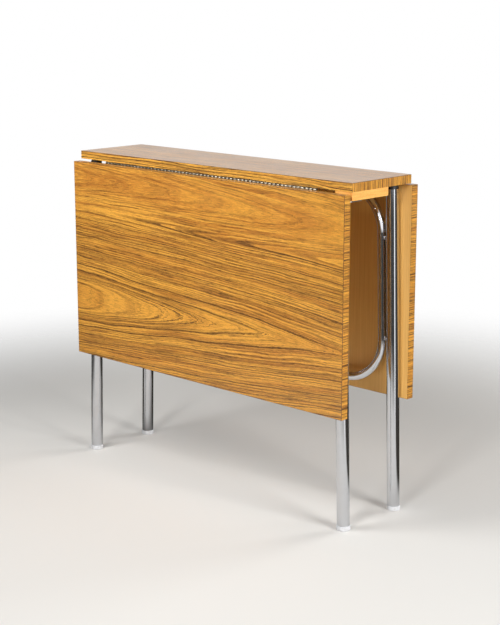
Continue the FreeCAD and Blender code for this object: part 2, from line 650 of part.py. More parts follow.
def make_post(side, turn):
    """The upright post in the middle of one side, with its plate and end cap."""
    place = turned(turn, Placement(Vector(0, -value(POST_Y), 0), Rotation()))
    post = new_body(f"{side}_post", place)
    section = new_sketch(post, f"{side}_post_section", "XY_Plane", POST_BOTTOM)
    circle(section, "0", "0", f"{POST_DIAMETER} / 2", "outside")
    circle(section, "0", "0", POST_BORE_RADIUS, "bore")
    pad(post, section, f"{POST_PLATE_BOTTOM} - {POST_BOTTOM}")

    plate = new_body(f"{side}_post_plate", place)
    outline = new_sketch(plate, f"{side}_post_plate_outline", "XY_Plane", POST_PLATE_BOTTOM)
    rectangle(outline, "-Sizes.post_plate_length / 2", f"-{POST_DIAMETER} / 2",
              "Sizes.post_plate_length", "Sizes.post_plate_width")
    pad(plate, outline, "Sizes.post_plate_thickness")
    round_corners(plate, "Sizes.plate_round")
    holes = new_sketch(plate, f"{side}_post_plate_holes", "XY_Plane", POST_PLATE_BOTTOM)
    for number, (x, y) in enumerate(POST_SCREWS):
        circle(holes, x, y, "Sizes.screw_radius", f"hole{number}")
    pocket(plate, holes, "Sizes.post_plate_thickness", forward=True)

    cap = new_body(f"{side}_post_cap", place)
    half = new_sketch(cap, f"{side}_post_cap_half", "XZ_Plane")
    polygon(half, [
        ("0", f"{POST_BOTTOM} - Sizes.post_cap_thickness"),
        ("Sizes.post_cap_diameter / 2", f"{POST_BOTTOM} - Sizes.post_cap_thickness"),
        ("Sizes.post_cap_diameter / 2", POST_BOTTOM),
        (POST_BORE_RADIUS, POST_BOTTOM),
        (POST_BORE_RADIUS, f"{POST_BOTTOM} + Sizes.post_cap_stem"),
        ("0", f"{POST_BOTTOM} + Sizes.post_cap_stem"),
    ])
    revolve(cap, half)

    screws = new_body(f"{side}_frame_screws", turned(turn))
    for number, (x, y) in enumerate(POST_SCREWS):
        screw(screws, f"{side}_post_screw{number}", x, f"{y} - {POST_Y}",
              POST_PLATE_BOTTOM, "Sizes.screw_depth")
    for number, y in enumerate(LEG_SCREW_YS):
        screw(screws, f"{side}_leg_screw{number}", LEG_SCREW_X, y,
              LEG_PLATE_BOTTOM, "Sizes.screw_depth")


def make_collars(name, plane):
    """The two collars of a gate: they turn on the post and carry the loop's ends."""
    body = new_body(name, plane)
    for label, height in (("high", GATE_TOP), ("low", GATE_BOTTOM)):
        ring = new_sketch(body, f"{name}_{label}", "XY_Plane",
                          f"{height} - Sizes.collar_height / 2")
        circle(ring, "0", "0", f"{COLLAR_DIAMETER} / 2", "outside")
        circle(ring, "0", "0", f"{POST_DIAMETER} / 2 + Sizes.collar_play", "bore")
        pad(body, ring, "Sizes.collar_height")


# ---------------------------------------------------------------- the table
def make_fixed_frame(side, turn):
    """A fixed leg with its loop, joined to the post in the middle of the same side."""
    plane = frame_plane(turn, swings=False)
    frame = leg_frame(plane)
    make_leg_tube(f"{side}_fixed_leg", frame, FIXED_LEG_TOP, mitre=True)
    make_foot_cap(f"{side}_fixed_foot", plane)
    make_leg_plate(side, turn)
    make_loop(f"{side}_fixed_loop", plane, FIXED_TOP, FIXED_BOTTOM, POST_DIAMETER)
    make_studs(f"{side}_fixed_studs", frame, FIXED_TOP, FIXED_BOTTOM)
    make_post(side, turn)


def make_gate(side, turn):
    """A gate: a leg and its loop that turn together on the post of their side."""
    plane = frame_plane(turn, swings=True)
    frame = leg_frame(plane)
    make_leg_tube(f"{side}_gate_leg", frame, GATE_LEG_TOP, mitre=False)
    make_foot_cap(f"{side}_gate_foot", plane)
    make_plug(f"{side}_gate_plug", frame)
    make_loop(f"{side}_gate_loop", plane, GATE_TOP, GATE_BOTTOM, COLLAR_DIAMETER)
    make_studs(f"{side}_gate_studs", frame, GATE_TOP, GATE_BOTTOM)
    make_collars(f"{side}_gate_collars", plane)


def centre_holes():
    """Places of the post and batten screws under the centre board, for both sides."""
    places = [(x, f"({y} - {POST_Y})") for x, y in POST_SCREWS]
    places += [(BATTEN_SCREW_X, y) for y in BATTEN_SCREW_YS]
    return places + [(f"-({x})", f"-({y})") for x, y in places]


def make_table():
    """Builds every sub-part of the folded table."""
    hinge_y = f"({AXIS_Y} - Sizes.hinge_screw_inset)"
    make_board("centre", Placement(), "-Sizes.centre_width / 2", "Sizes.centre_width",
               UNDERSIDE, [f"-{hinge_y}", hinge_y], centre_holes())
    hanging = Rotation(Vector(1, 0, 0), -90.0)
    rear_leaf = Placement(Vector(0, value(AXIS_Y), value(AXIS_Z)), hanging)
    for side, turn, half_turn in (("front", FRONT_TURN, REAR_TURN), ("rear", REAR_TURN, FRONT_TURN)):
        make_board(f"{side}_leaf", turned(half_turn, rear_leaf), "Sizes.open_gap / 2",
                   "Sizes.leaf_depth", "Sizes.hinge_drop", ["Sizes.hinge_screw_inset"], [])
        make_hinge(side, turn)
        make_fixed_frame(side, turn)
        make_gate(side, half_turn)
    make_batten("right", FRONT_TURN)
    make_batten("left", REAR_TURN)


def check_and_export():
    """Stops on any failed object, then writes one STEP file for each body."""
    doc.recompute()
    for item in doc.Objects:
        if "Invalid" in item.State or "Error" in item.State:
            raise RuntimeError(f"{item.Name}: {item.State}")
    bodies = [item for item in doc.Objects if item.TypeId == "PartDesign::Body"]
    for body in bodies:
        if body.Shape.isNull() or not body.Shape.isValid():
            raise RuntimeError(f"{body.Label}: bad shape")
    os.makedirs("parts", exist_ok=True)
    for body in bodies:
        body.Shape.exportStep(f"parts/{body.Label}.step")
    print(len(bodies), "sub-parts")


make_table()
check_and_export()
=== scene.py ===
import logging
import math
from dataclasses import dataclass, field
from enum import Enum

import bmesh
import bpy
from mathutils import Euler, Matrix, Vector


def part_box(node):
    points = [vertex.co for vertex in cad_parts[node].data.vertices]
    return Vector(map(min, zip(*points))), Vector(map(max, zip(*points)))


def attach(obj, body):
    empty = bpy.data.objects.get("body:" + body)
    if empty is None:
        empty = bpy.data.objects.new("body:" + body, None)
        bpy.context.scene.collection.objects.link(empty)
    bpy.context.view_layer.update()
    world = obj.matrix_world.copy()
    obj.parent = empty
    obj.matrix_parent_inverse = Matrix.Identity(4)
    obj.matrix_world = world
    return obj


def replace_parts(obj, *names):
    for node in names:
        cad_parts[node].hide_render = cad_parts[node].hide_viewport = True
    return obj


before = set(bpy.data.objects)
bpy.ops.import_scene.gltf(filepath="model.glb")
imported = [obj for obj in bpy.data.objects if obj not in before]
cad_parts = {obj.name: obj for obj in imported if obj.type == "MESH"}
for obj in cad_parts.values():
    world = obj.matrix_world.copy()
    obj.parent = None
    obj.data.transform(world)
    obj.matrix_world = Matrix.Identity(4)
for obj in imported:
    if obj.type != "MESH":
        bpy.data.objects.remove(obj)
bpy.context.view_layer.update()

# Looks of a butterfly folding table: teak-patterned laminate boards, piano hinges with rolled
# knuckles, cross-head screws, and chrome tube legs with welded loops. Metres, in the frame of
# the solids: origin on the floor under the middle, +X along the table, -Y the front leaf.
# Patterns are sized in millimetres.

LOG = logging.getLogger("butterfly_table")
MM = 0.001
MERGE_DISTANCE = 0.001 * MM
UP = Vector((0, 0, 1))
Colour = tuple[float, float, float, float]
Span = tuple[float, float]
Triple = tuple[float, float, float]
Socket = bpy.types.NodeSocket
Outputs = bpy.types.NodeOutputs
Feed = Socket | float | int | tuple


class Body(Enum):
    """The moving bodies of the table."""

    TOP = "top_and_fixed_legs"
    FRONT_LEAF = "front_leaf"
    REAR_LEAF = "rear_leaf"
    FRONT_GATE = "front_gate"
    REAR_GATE = "rear_gate"


class Axis(Enum):
    """A direction of the table's frame, as the index of a vector's part."""

    X = 0
    Y = 1
    Z = 2


class Side(Enum):
    """The front or rear half of the table; the value turns the rear half's shapes about Z."""

    REAR = 0.0
    FRONT = math.pi

    @property
    def word(self) -> str:
        """The side's name as node names spell it."""
        return self.name.lower()

    @property
    def turn(self) -> Matrix:
        """The turn about the upright axis that carries rear shapes to this side."""
        return Matrix.Rotation(self.value, 4, "Z")

    @property
    def leaf(self) -> Body:
        """The body of this side's leaf."""
        return Body(f"{self.word}_leaf")

    @property
    def gate(self) -> Body:
        """The body of this side's gate."""
        return Body(f"{self.word}_gate")


def paint(red: int, green: int, blue: int) -> Colour:
    """Turns a colour written as screen values into the linear values that shaders take.

    Args:
        red: Red from 0 to 255.
        green: Green from 0 to 255.
        blue: Blue from 0 to 255.

    Returns:
        The linear colour with full opacity.
    """
    def linear(level: int) -> float:
        """One channel's linear value."""
        share = level / 255
        return share / 12.92 if share <= 0.04045 else ((share + 0.055) / 1.055) ** 2.4

    return linear(red), linear(green), linear(blue), 1.0


# ---------------------------------------------------------------- node trees
class Wiring:
    """Adds nodes to one tree and feeds their inputs with links or numbers."""

    def __init__(self, tree: bpy.types.NodeTree) -> None:
        """Takes the tree to build in."""
        self.tree = tree

    def add(self, kind: str, feeds: dict | None = None, **settings: object) -> bpy.types.Node:
        """Adds one node.

        Args:
            kind: The node's type name.
            feeds: Its inputs, by name or index, each fed by a socket or a plain value.
            settings: Properties of the node.

        Returns:
            The new node.
        """
        node = self.tree.nodes.new(kind)
        for name, setting in settings.items():
            setattr(node, name, setting)
        for key, feed in (feeds or {}).items():
            self.feed(node.inputs[key], feed)
        return node

    def feed(self, socket: Socket, source: Feed) -> None:
        """Links a socket to its source, or gives it a plain value.

        Args:
            socket: The input to feed.
            source: Another node's output, or the value.
        """
        if isinstance(source, bpy.types.NodeSocket):
            self.tree.links.new(source, socket)
        else:
            socket.default_value = source

    def compute(self, operation: str, *terms: Feed, clamp: bool = False) -> Socket:
        """Works out a number with a Math node.

        Args:
            operation: The node's operation.
            terms: The numbers that it takes.
            clamp: Whether the result is held between 0 and 1.

        Returns:
            The result.
        """
        node = self.add("ShaderNodeMath", dict(enumerate(terms)), operation=operation,
                        use_clamp=clamp)
        return node.outputs[0]

    def chain(self, operation: str, terms: tuple[Feed, ...]) -> Socket:
        """Joins terms two by two, from the last to the first.

        Args:
            operation: The Math node's operation.
            terms: Two or more numbers.

        Returns:
            The result.
        """
        result = terms[-1]
        for term in reversed(terms[:-1]):
            result = self.compute(operation, term, result)
        return result

    def plus(self, *terms: Feed) -> Socket:
        """The sum of two or more numbers."""
        return self.chain("ADD", terms)

    def most(self, *terms: Feed) -> Socket:
        """The largest of two or more numbers."""
        return self.chain("MAXIMUM", terms)

    def times(self, *terms: Feed) -> Socket:
        """The product of two or more numbers."""
        return self.chain("MULTIPLY", terms)

    def minus(self, first: Feed, second: Feed) -> Socket:
        """The first number less the second."""
        return self.compute("SUBTRACT", first, second)

    def over(self, first: Feed, second: Feed) -> Socket:
        """The first number divided by the second."""
        return self.compute("DIVIDE", first, second)

    def rest(self, share: Feed) -> Socket:
        """What a share leaves of 1."""
        return self.minus(1.0, share)

    def length(self, first: Feed, second: Feed) -> Socket:
        """The length of a vector with two parts at right angles."""
        squares = [self.times(part, part) for part in (first, second)]
        return self.compute("SQRT", self.plus(*squares))

    def vector(self, x: Feed, y: Feed, z: Feed) -> Socket:
        """A vector from three parts."""
        return self.add("ShaderNodeCombineXYZ", {0: x, 1: y, 2: z}).outputs[0]

    def noise(self, x: Feed, y: Feed, z: Feed, detail: float = 2.0, rough: float = 0.5) -> Socket:
        """Draws Perlin noise.

        Args:
            x: The first coordinate, already scaled.
            y: The second coordinate.
            z: The third coordinate.
            detail: How many finer layers are added.
            rough: How strong the finer layers are.

        Returns:
            The noise from 0 to 1.
        """
        node = self.add("ShaderNodeTexNoise", {"Vector": self.vector(x, y, z), "Scale": 1.0,
                                               "Detail": detail, "Roughness": rough})
        return node.outputs["Fac"]

    def swing(self, noise: Socket, reach: Feed) -> Socket:
        """Noise turned into a shift to either side, reach wide in all."""
        return self.times(self.minus(noise, 0.5), reach)

    def step(self, value: Feed, low: Feed, high: Feed) -> Socket:
        """A smooth step from 0 at low to 1 at high, which may lie below low."""
        node = self.add("ShaderNodeMapRange", {"Value": value, "From Min": low, "From Max": high},
                        interpolation_type="SMOOTHSTEP")
        return node.outputs["Result"]

    def scale(self, value: Feed, low: Feed, high: Feed) -> Socket:
        """A value from 0 to 1 spread from low to high."""
        node = self.add("ShaderNodeMapRange", {"Value": value, "To Min": low, "To Max": high})
        return node.outputs["Result"]

    def blend(self, share: Feed, first: Feed, second: Feed) -> Socket:
        """Mixes two colours.

        Args:
            share: The second colour's share.
            first: The first colour.
            second: The second colour.

        Returns:
            The mixed colour.
        """
        node = self.add("ShaderNodeMix", data_type="RGBA", blend_type="MIX")
        share_input, first_input, second_input = 0, 6, 7
        self.feed(node.inputs[share_input], share)
        self.feed(node.inputs[first_input], first)
        self.feed(node.inputs[second_input], second)
        return node.outputs[2]

    def place(self) -> tuple[Socket, Socket, Socket]:
        """Finds the surface point in the piece's own coordinates.

        Returns:
            The point's three coordinates in millimetres.
        """
        here = self.add("ShaderNodeTexCoord").outputs["Object"]
        grown = self.add("ShaderNodeVectorMath", {0: here, "Scale": 1 / MM}, operation="SCALE")
        split = self.add("ShaderNodeSeparateXYZ", {0: grown.outputs[0]})
        return split.outputs[0], split.outputs[1], split.outputs[2]


@dataclass
class Group:
    """A shader node group: an effect that several finishes share."""

    name: str
    inputs: dict[str, float | Colour]
    outputs: tuple[str, ...]
    tree: bpy.types.NodeTree = field(init=False)
    wires: Wiring = field(init=False)
    given: Outputs = field(init=False)

    def __post_init__(self) -> None:
        """Makes the tree with its sockets and its end nodes."""
        self.tree = bpy.data.node_groups.new(self.name, "ShaderNodeTree")
        sockets = self.tree.interface
        for name, start in self.inputs.items():
            kind = "NodeSocketColor" if isinstance(start, tuple) else "NodeSocketFloat"
            sockets.new_socket(name=name, in_out="INPUT", socket_type=kind).default_value = start
        for name in self.outputs:
            kind = "NodeSocketColor" if name == "Colour" else "NodeSocketFloat"
            sockets.new_socket(name=name, in_out="OUTPUT", socket_type=kind)
        self.wires = Wiring(self.tree)
        self.given = self.wires.add("NodeGroupInput").outputs

    def give(self, **results: Socket) -> None:
        """Feeds the group's outputs."""
        self.wires.add("NodeGroupOutput", results)

    def use(self, wires: Wiring, **feeds: Feed) -> Outputs:
        """Places the group in another tree.

        Args:
            wires: The wiring of that tree.
            feeds: The group's inputs, spaces in their names written as underscores.

        Returns:
            The group node's outputs.
        """
        node = wires.add("ShaderNodeGroup", node_tree=self.tree)
        for name, feed in feeds.items():
            wires.feed(node.inputs[name.replace("_", " ")], feed)
        return node.outputs


# ---------------------------------------------------------------- effects
@dataclass(frozen=True)
class Wave:
    """Noise drawn out along the wood; reach is the width of the shift that it gives."""

    along: float
    across: float
    reach: float = 0.0
    detail: float = 2.0
    rough: float = 0.5

    def noise(self, wires: Wiring, along: Feed, across: Feed, seed: Feed) -> Socket:
        """Draws the noise.

        Args:
            wires: The wiring of the tree.
            along: The place along the wood.
            across: The place across it.
            seed: What tells one sheet from another.

        Returns:
            The noise from 0 to 1.
        """
        x, y = wires.over(along, self.along), wires.over(across, self.across)
        return wires.noise(x, y, seed, self.detail, self.rough)

    def shift(self, wires: Wiring, along: Feed, across: Feed, seed: Feed) -> Socket:
        """The noise as a shift to either side."""
        return wires.swing(self.noise(wires, along, across, seed), self.reach)


@dataclass(frozen=True)
class Mark:
    """Marks of the print: they grow where noise crosses an edge, up to a strength."""

    wave: Wave
    edge: Span
    strength: float = 1.0
    seed_shift: float = 0.0

    def draw(self, wires: Wiring, along: Feed, across: Feed, seed: Feed) -> Socket:
        """Draws the marks.

        Args:
            wires: The wiring of the tree.
            along: The place along the wood.
            across: The place across it.
            seed: What tells one sheet from another.

        Returns:
            The marks' strength at the place.
        """
        noise = self.wave.noise(wires, along, across, wires.plus(seed, self.seed_shift))
        return wires.times(wires.step(noise, *self.edge), self.strength)


@dataclass(frozen=True)
class FigurePoint:
    """Where a surface point lies in the teak figure, as sockets of the figure's tree."""

    along: Socket
    bent: Socket
    seed: Socket
    ring: Socket
    radius: Socket
    spread: Socket
    is_far: Socket


@dataclass(frozen=True)
class RingSet:
    """One set of nested rings, some of them left out or broken off.

    The pitch and the dark line's width are shares of the figure's ring. A ring's chance is noise
    read at its number times a stride, and a line's edge is given in shares of its width.
    """

    pitch: float
    jitter: float
    line: float
    strength: float
    ring_stride: float = 3.37
    ring_chance: Span = (0.34, 0.62)
    part_stride: float = 1.7
    part_length: float = 240.0
    part_chance: Span = (0.24, 0.46)
    line_edge: Span = (1.7, 0.3)
    glow_fall: float = -2.0
    far_share: float = 0.5

    def draw(self, wires: Wiring, at: FigurePoint) -> tuple[Socket, Socket]:
        """Draws dark lines where rings end and the bright wood that follows them.

        Args:
            wires: The wiring of the figure.
            at: The surface point.

        Returns:
            The masks of the dark line and of the bright wood.
        """
        pitch = wires.times(at.ring, self.pitch)
        uneven = wires.noise(wires.over(at.radius, self.jitter), at.seed, pitch)
        turns = wires.over(wires.plus(at.radius, wires.swing(uneven, self.jitter)), pitch)
        phase, number = wires.compute("FRACT", turns), wires.compute("FLOOR", turns)
        reach = wires.over(pitch, at.spread)
        before, after = wires.times(wires.rest(phase), reach), wires.times(phase, reach)
        ring_noise = wires.noise(wires.times(number, self.ring_stride), at.seed, pitch)
        part_noise = wires.noise(wires.over(at.along, self.part_length),
                                 wires.times(number, self.part_stride), at.seed)
        kept = wires.times(wires.step(ring_noise, *self.ring_chance),
                           wires.step(part_noise, *self.part_chance))
        share = wires.scale(at.is_far, self.strength, self.strength * self.far_share)
        strength = wires.times(kept, share)
        width = wires.times(at.ring, self.line)
        line = wires.step(before, *(wires.times(width, edge) for edge in self.line_edge))
        glow = wires.compute("EXPONENT", wires.over(after, wires.times(width, self.glow_fall)))
        return wires.times(line, strength), wires.times(glow, strength)


GRAIN = Wave(150.0, 2.6, detail=3.0, rough=0.65)
STREAKS = Wave(30.0, 1.7)
TICKS = Wave(16.0, 1.7, detail=1.0)
PORES = Wave(4.5, 0.4, detail=1.0)


@dataclass(frozen=True)
class TeakFigure:
    """The printed figure of plain-sawn teak: rings nested round two hearts that taper.

    Above its heart the figure tilts one way and below it another, so the arches open unevenly, as
    they do where a saw leaves the middle of a log. The first set of rings is the boldest.
    """

    bends: tuple[Wave, ...] = (Wave(330.0, 80.0, reach=22.0), Wave(75.0, 12.0, reach=3.6),
                               Wave(14.0, 3.0, reach=0.7))
    tatters: Wave = Wave(13.0, 3.5, reach=4.5, detail=3.0)
    tilt_change: float = 15.0
    hearts_border: float = 20.0
    hearts_merge: float = 40.0
    least_spread: float = 0.22
    rings: tuple[RingSet, ...] = (RingSet(pitch=2.7, jitter=26.0, line=0.43, strength=1.0),
                                  RingSet(pitch=1.0, jitter=14.0, line=0.31, strength=0.9),
                                  RingSet(pitch=0.6, jitter=6.0, line=0.2, strength=0.6))
    bold_spread: Span = (0.25, 0.6)
    bold_share: float = 0.6
    zones: Mark = Mark(Wave(420.0, 13.0), (0.32, 0.68))
    zone_light: float = 0.25
    fibres: Mark = Mark(GRAIN, (0.48, 0.64), strength=0.7)
    bare: Mark = Mark(GRAIN, (0.46, 0.34))
    sheen: Mark = Mark(STREAKS, (0.5, 0.66), strength=0.6, seed_shift=5.0)
    shine: float = 0.9
    dots: tuple[Mark, ...] = (Mark(TICKS, (0.54, 0.7), strength=0.3),
                              Mark(STREAKS, (0.46, 0.32), strength=0.3, seed_shift=5.0),
                              Mark(PORES, (0.56, 0.7), strength=0.35))

    def group(self) -> Group:
        """Builds the figure's node group.

        Returns:
            The group, which puts out the print's colour and its relief.
        """
        group = Group("Teak figure", {
            "Along": 0.0, "Across": 0.0, "Seed": 0.0, "Ring": 4.4,
            "Heart": 0.0, "Rise Above": 0.0, "Rise Below": 0.0, "Apex": -600.0, "Taper": 0.06,
            "Far Heart": 0.0, "Far Apex": -1000.0, "Far Taper": 0.04, "Far Depth": 1000.0,
            "Light": (0.8, 0.5, 0.1, 1.0), "Middle": (0.5, 0.3, 0.1, 1.0),
            "Dark": (0.1, 0.05, 0.02, 1.0),
        }, ("Colour", "Relief"))
        wires, given = group.wires, group.given
        at = self.point(wires, given)
        inside = (wires, at.along, at.radius, at.seed)
        outside = (wires, at.along, at.bent, at.seed)
        lines, glows = zip(*(rings.draw(wires, at) for rings in self.rings))
        bold = wires.scale(wires.step(at.spread, *self.bold_spread), self.bold_share, 1.0)
        tone = wires.scale(self.zones.draw(*inside), 1.0, self.zone_light)
        ground = wires.blend(tone, given["Light"], given["Middle"])
        bare = wires.times(self.bare.draw(*inside), at.spread)
        shine = wires.most(*glows, bare, self.sheen.draw(*outside))
        ground = wires.blend(wires.times(shine, self.shine), ground, given["Light"])
        fibres = wires.times(self.fibres.draw(*inside), at.spread)
        ink = wires.most(wires.times(lines[0], bold), *lines[1:], fibres)
        dots = wires.most(*(dot.draw(*outside) for dot in self.dots))
        ink = wires.compute("ADD", ink, dots, clamp=True)
        group.give(Colour=wires.blend(ink, ground, given["Dark"]), Relief=wires.rest(ink))
        return group

    def point(self, wires: Wiring, given: Outputs) -> FigurePoint:
        """Finds where a surface point lies among the rings.

        Args:
            wires: The wiring of the group.
            given: The group's inputs.

        Returns:
            The point's place in the figure.
        """
        along, across, seed = given["Along"], given["Across"], given["Seed"]
        bent = wires.plus(across, *(wave.shift(wires, along, across, seed) for wave in self.bends))
        height = wires.minus(bent, given["Heart"])
        above = wires.step(height, -self.tilt_change, self.tilt_change)
        rise = wires.scale(above, given["Rise Below"], given["Rise Above"])
        off = wires.minus(height, wires.times(along, rise))
        near, near_steep = self.heart(wires, off, wires.minus(along, given["Apex"]), given["Taper"])
        far_off = wires.minus(wires.minus(bent, given["Far Heart"]),
                              wires.times(along, given["Rise Above"]))
        far, far_steep = self.heart(wires, far_off, wires.minus(along, given["Far Apex"]),
                                    given["Far Taper"])
        far = wires.plus(far, given["Far Depth"])
        is_far = wires.step(wires.minus(near, far), -self.hearts_border, self.hearts_border)
        steep = wires.scale(is_far, near_steep, far_steep)
        spread = wires.scale(steep, self.least_spread, 1.0)
        fray = wires.times(self.tatters.shift(wires, along, across, seed), wires.rest(spread))
        radius = wires.plus(wires.compute("SMOOTH_MIN", near, far, self.hearts_merge), fray)
        return FigurePoint(along, bent, seed, given["Ring"], radius, spread, is_far)

    @staticmethod
    def heart(wires: Wiring, off: Socket, away: Socket, taper: Socket) -> tuple[Socket, Socket]:
        """Measures the rings round one heart.

        Args:
            wires: The wiring of the group.
            off: How far the point lies from the heart's line.
            away: How far it lies from the apex along the wood.
            taper: How fast the heart sinks below the sheet.

        Returns:
            The radius of the ring at the point, and how steeply the sheet cuts that ring.
        """
        depth = wires.times(away, taper)
        radius = wires.length(off, depth)
        return radius, wires.over(wires.length(off, wires.times(depth, taper)), radius)


@dataclass(frozen=True)
class SheetRim:
    """Where a flat sheet shows its cut edge."""

    directions: tuple[str, str] = ("Along", "Across")

    def group(self) -> Group:
        """Builds the effect's node group.

        Returns:
            The group, which puts out a mask: 1 near the sheet's border, 0 over the rest.
        """
        group = Group("Sheet rim", {
            "Along": 0.0, "Across": 0.0, "Middle Along": 0.0, "Middle Across": 0.0,
            "Half Along": 1.0, "Half Across": 1.0, "Width": 1.0, "Soft": 0.1,
        }, ("Mask",))
        wires, given = group.wires, group.given
        gaps = []
        for word in self.directions:
            off = wires.compute("ABSOLUTE", wires.minus(given[word], given[f"Middle {word}"]))
            gaps.append(wires.minus(given[f"Half {word}"], off))
        nearest = wires.compute("MINIMUM", *gaps)
        inner = wires.plus(given["Width"], given["Soft"])
        group.give(Mask=wires.step(nearest, inner, given["Width"]))
        return group


@dataclass(frozen=True)
class Handling:
    """Years of hands and cloths: soft smudges and fine scratches, as changes of roughness."""

    cloud_size: float = 70.0
    cloud_detail: float = 4.0
    cloud_rough: float = 0.6
    cloud_edge: Span = (0.35, 0.7)
    scratch_size: Triple = (24.0, 3.0, 1.1)
    scratch_edge: Span = (0.66, 0.74)

    def group(self) -> Group:
        """Builds the effect's node group.

        Returns:
            The group, which puts out the roughness.
        """
        group = Group("Handling", {"X": 0.0, "Y": 0.0, "Z": 0.0, "Roughness": 0.3, "Smudge": 0.1,
                                   "Scratch": 0.1}, ("Roughness",))
        wires, given = group.wires, group.given
        spots = [given[name] for name in "XYZ"]
        clouds = wires.noise(*(wires.over(spot, self.cloud_size) for spot in spots),
                             self.cloud_detail, self.cloud_rough)
        marks = wires.noise(*map(wires.over, spots, self.scratch_size))
        smudges = wires.times(wires.step(clouds, *self.cloud_edge), given["Smudge"])
        scratches = wires.times(wires.step(marks, *self.scratch_edge), given["Scratch"])
        rough = wires.plus(given["Roughness"], smudges)
        group.give(Roughness=wires.compute("ADD", rough, scratches, clamp=True))
        return group


@dataclass(frozen=True)
class Grime:
    """Dull dirt that gathers in patches."""

    detail: float = 5.0
    rough: float = 0.65
    edge: Span = (0.42, 0.75)

    def group(self) -> Group:
        """Builds the effect's node group.

        Returns:
            The group, which puts out the dirtied colour.
        """
        group = Group("Grime", {"X": 0.0, "Y": 0.0, "Z": 0.0, "Size": 20.0, "Amount": 0.3,
                                "Clean": (0.8, 0.8, 0.8, 1.0), "Dirt": (0.1, 0.1, 0.1, 1.0)},
                      ("Colour",))
        wires, given = group.wires, group.given
        spots = [wires.over(given[name], given["Size"]) for name in "XYZ"]
        patch = wires.step(wires.noise(*spots, self.detail, self.rough), *self.edge)
        mask = wires.times(patch, given["Amount"])
        group.give(Colour=wires.blend(mask, given["Clean"], given["Dirt"]))
        return group


class Effects:
    """The shared shader groups, each built once."""

    teak: Group = TeakFigure().group()
    rim: Group = SheetRim().group()
    handling: Group = Handling().group()
    grime: Group = Grime().group()


# ---------------------------------------------------------------- finishes
@dataclass(frozen=True)
class Finish:
    """A procedural material; each kind draws its own pattern."""

    name: str

    def material(self) -> bpy.types.Material:
        """Builds the finish's material on first use.

        Returns:
            The material.
        """
        known = bpy.data.materials.get(f"{self.name}_finish")
        if known:
            return known
        made = bpy.data.materials.new(f"{self.name}_finish")
        made.use_nodes = True
        made.node_tree.nodes.clear()
        wires = Wiring(made.node_tree)
        shader = wires.add("ShaderNodeBsdfPrincipled")
        self.draw(wires, shader)
        wires.add("ShaderNodeOutputMaterial", {"Surface": shader.outputs[0]})
        return made

    def draw(self, wires: Wiring, shader: bpy.types.Node) -> None:
        """Feeds the shader; each kind of finish has its own."""
        raise NotImplementedError

    @staticmethod
    def bump(wires: Wiring, shader: bpy.types.Node, height: Socket, depth: float) -> None:
        """Feeds the shader's normal from a height, with the relief's depth in metres."""
        node = wires.add("ShaderNodeBump", {"Height": height, "Distance": depth, "Strength": 1.0})
        wires.feed(shader.inputs["Normal"], node.outputs[0])

    @staticmethod
    def wear(wires: Wiring, shader: bpy.types.Node, spots: tuple[Socket, ...], roughness: float,
             smudge: float, scratch: float) -> None:
        """Feeds the shader's roughness, with the marks of use.

        Args:
            wires: The wiring of the material.
            shader: Its shader.
            spots: The surface point.
            roughness: The roughness of the clean surface.
            smudge: How much a smudge adds.
            scratch: How much a scratch adds.
        """
        touch = Effects.handling.use(wires, **dict(zip("XYZ", spots)), Roughness=roughness,
                                     Smudge=smudge, Scratch=scratch)
        wires.feed(shader.inputs["Roughness"], touch["Roughness"])

    @staticmethod
    def dirty_colour(wires: Wiring, shader: bpy.types.Node, spots: tuple[Socket, ...], size: float,
                     amount: float, clean: Colour, dirt: Colour) -> None:
        """Feeds the shader's base colour, with dirt in patches.

        Args:
            wires: The wiring of the material.
            shader: Its shader.
            spots: The surface point.
            size: The size of the patches.
            amount: How strong the dirt is.
            clean: The colour without it.
            dirt: The colour of the dirt.
        """
        skin = Effects.grime.use(wires, **dict(zip("XYZ", spots)), Size=size, Amount=amount,
                                 Clean=clean, Dirt=dirt)
        wires.feed(shader.inputs["Base Color"], skin["Colour"])


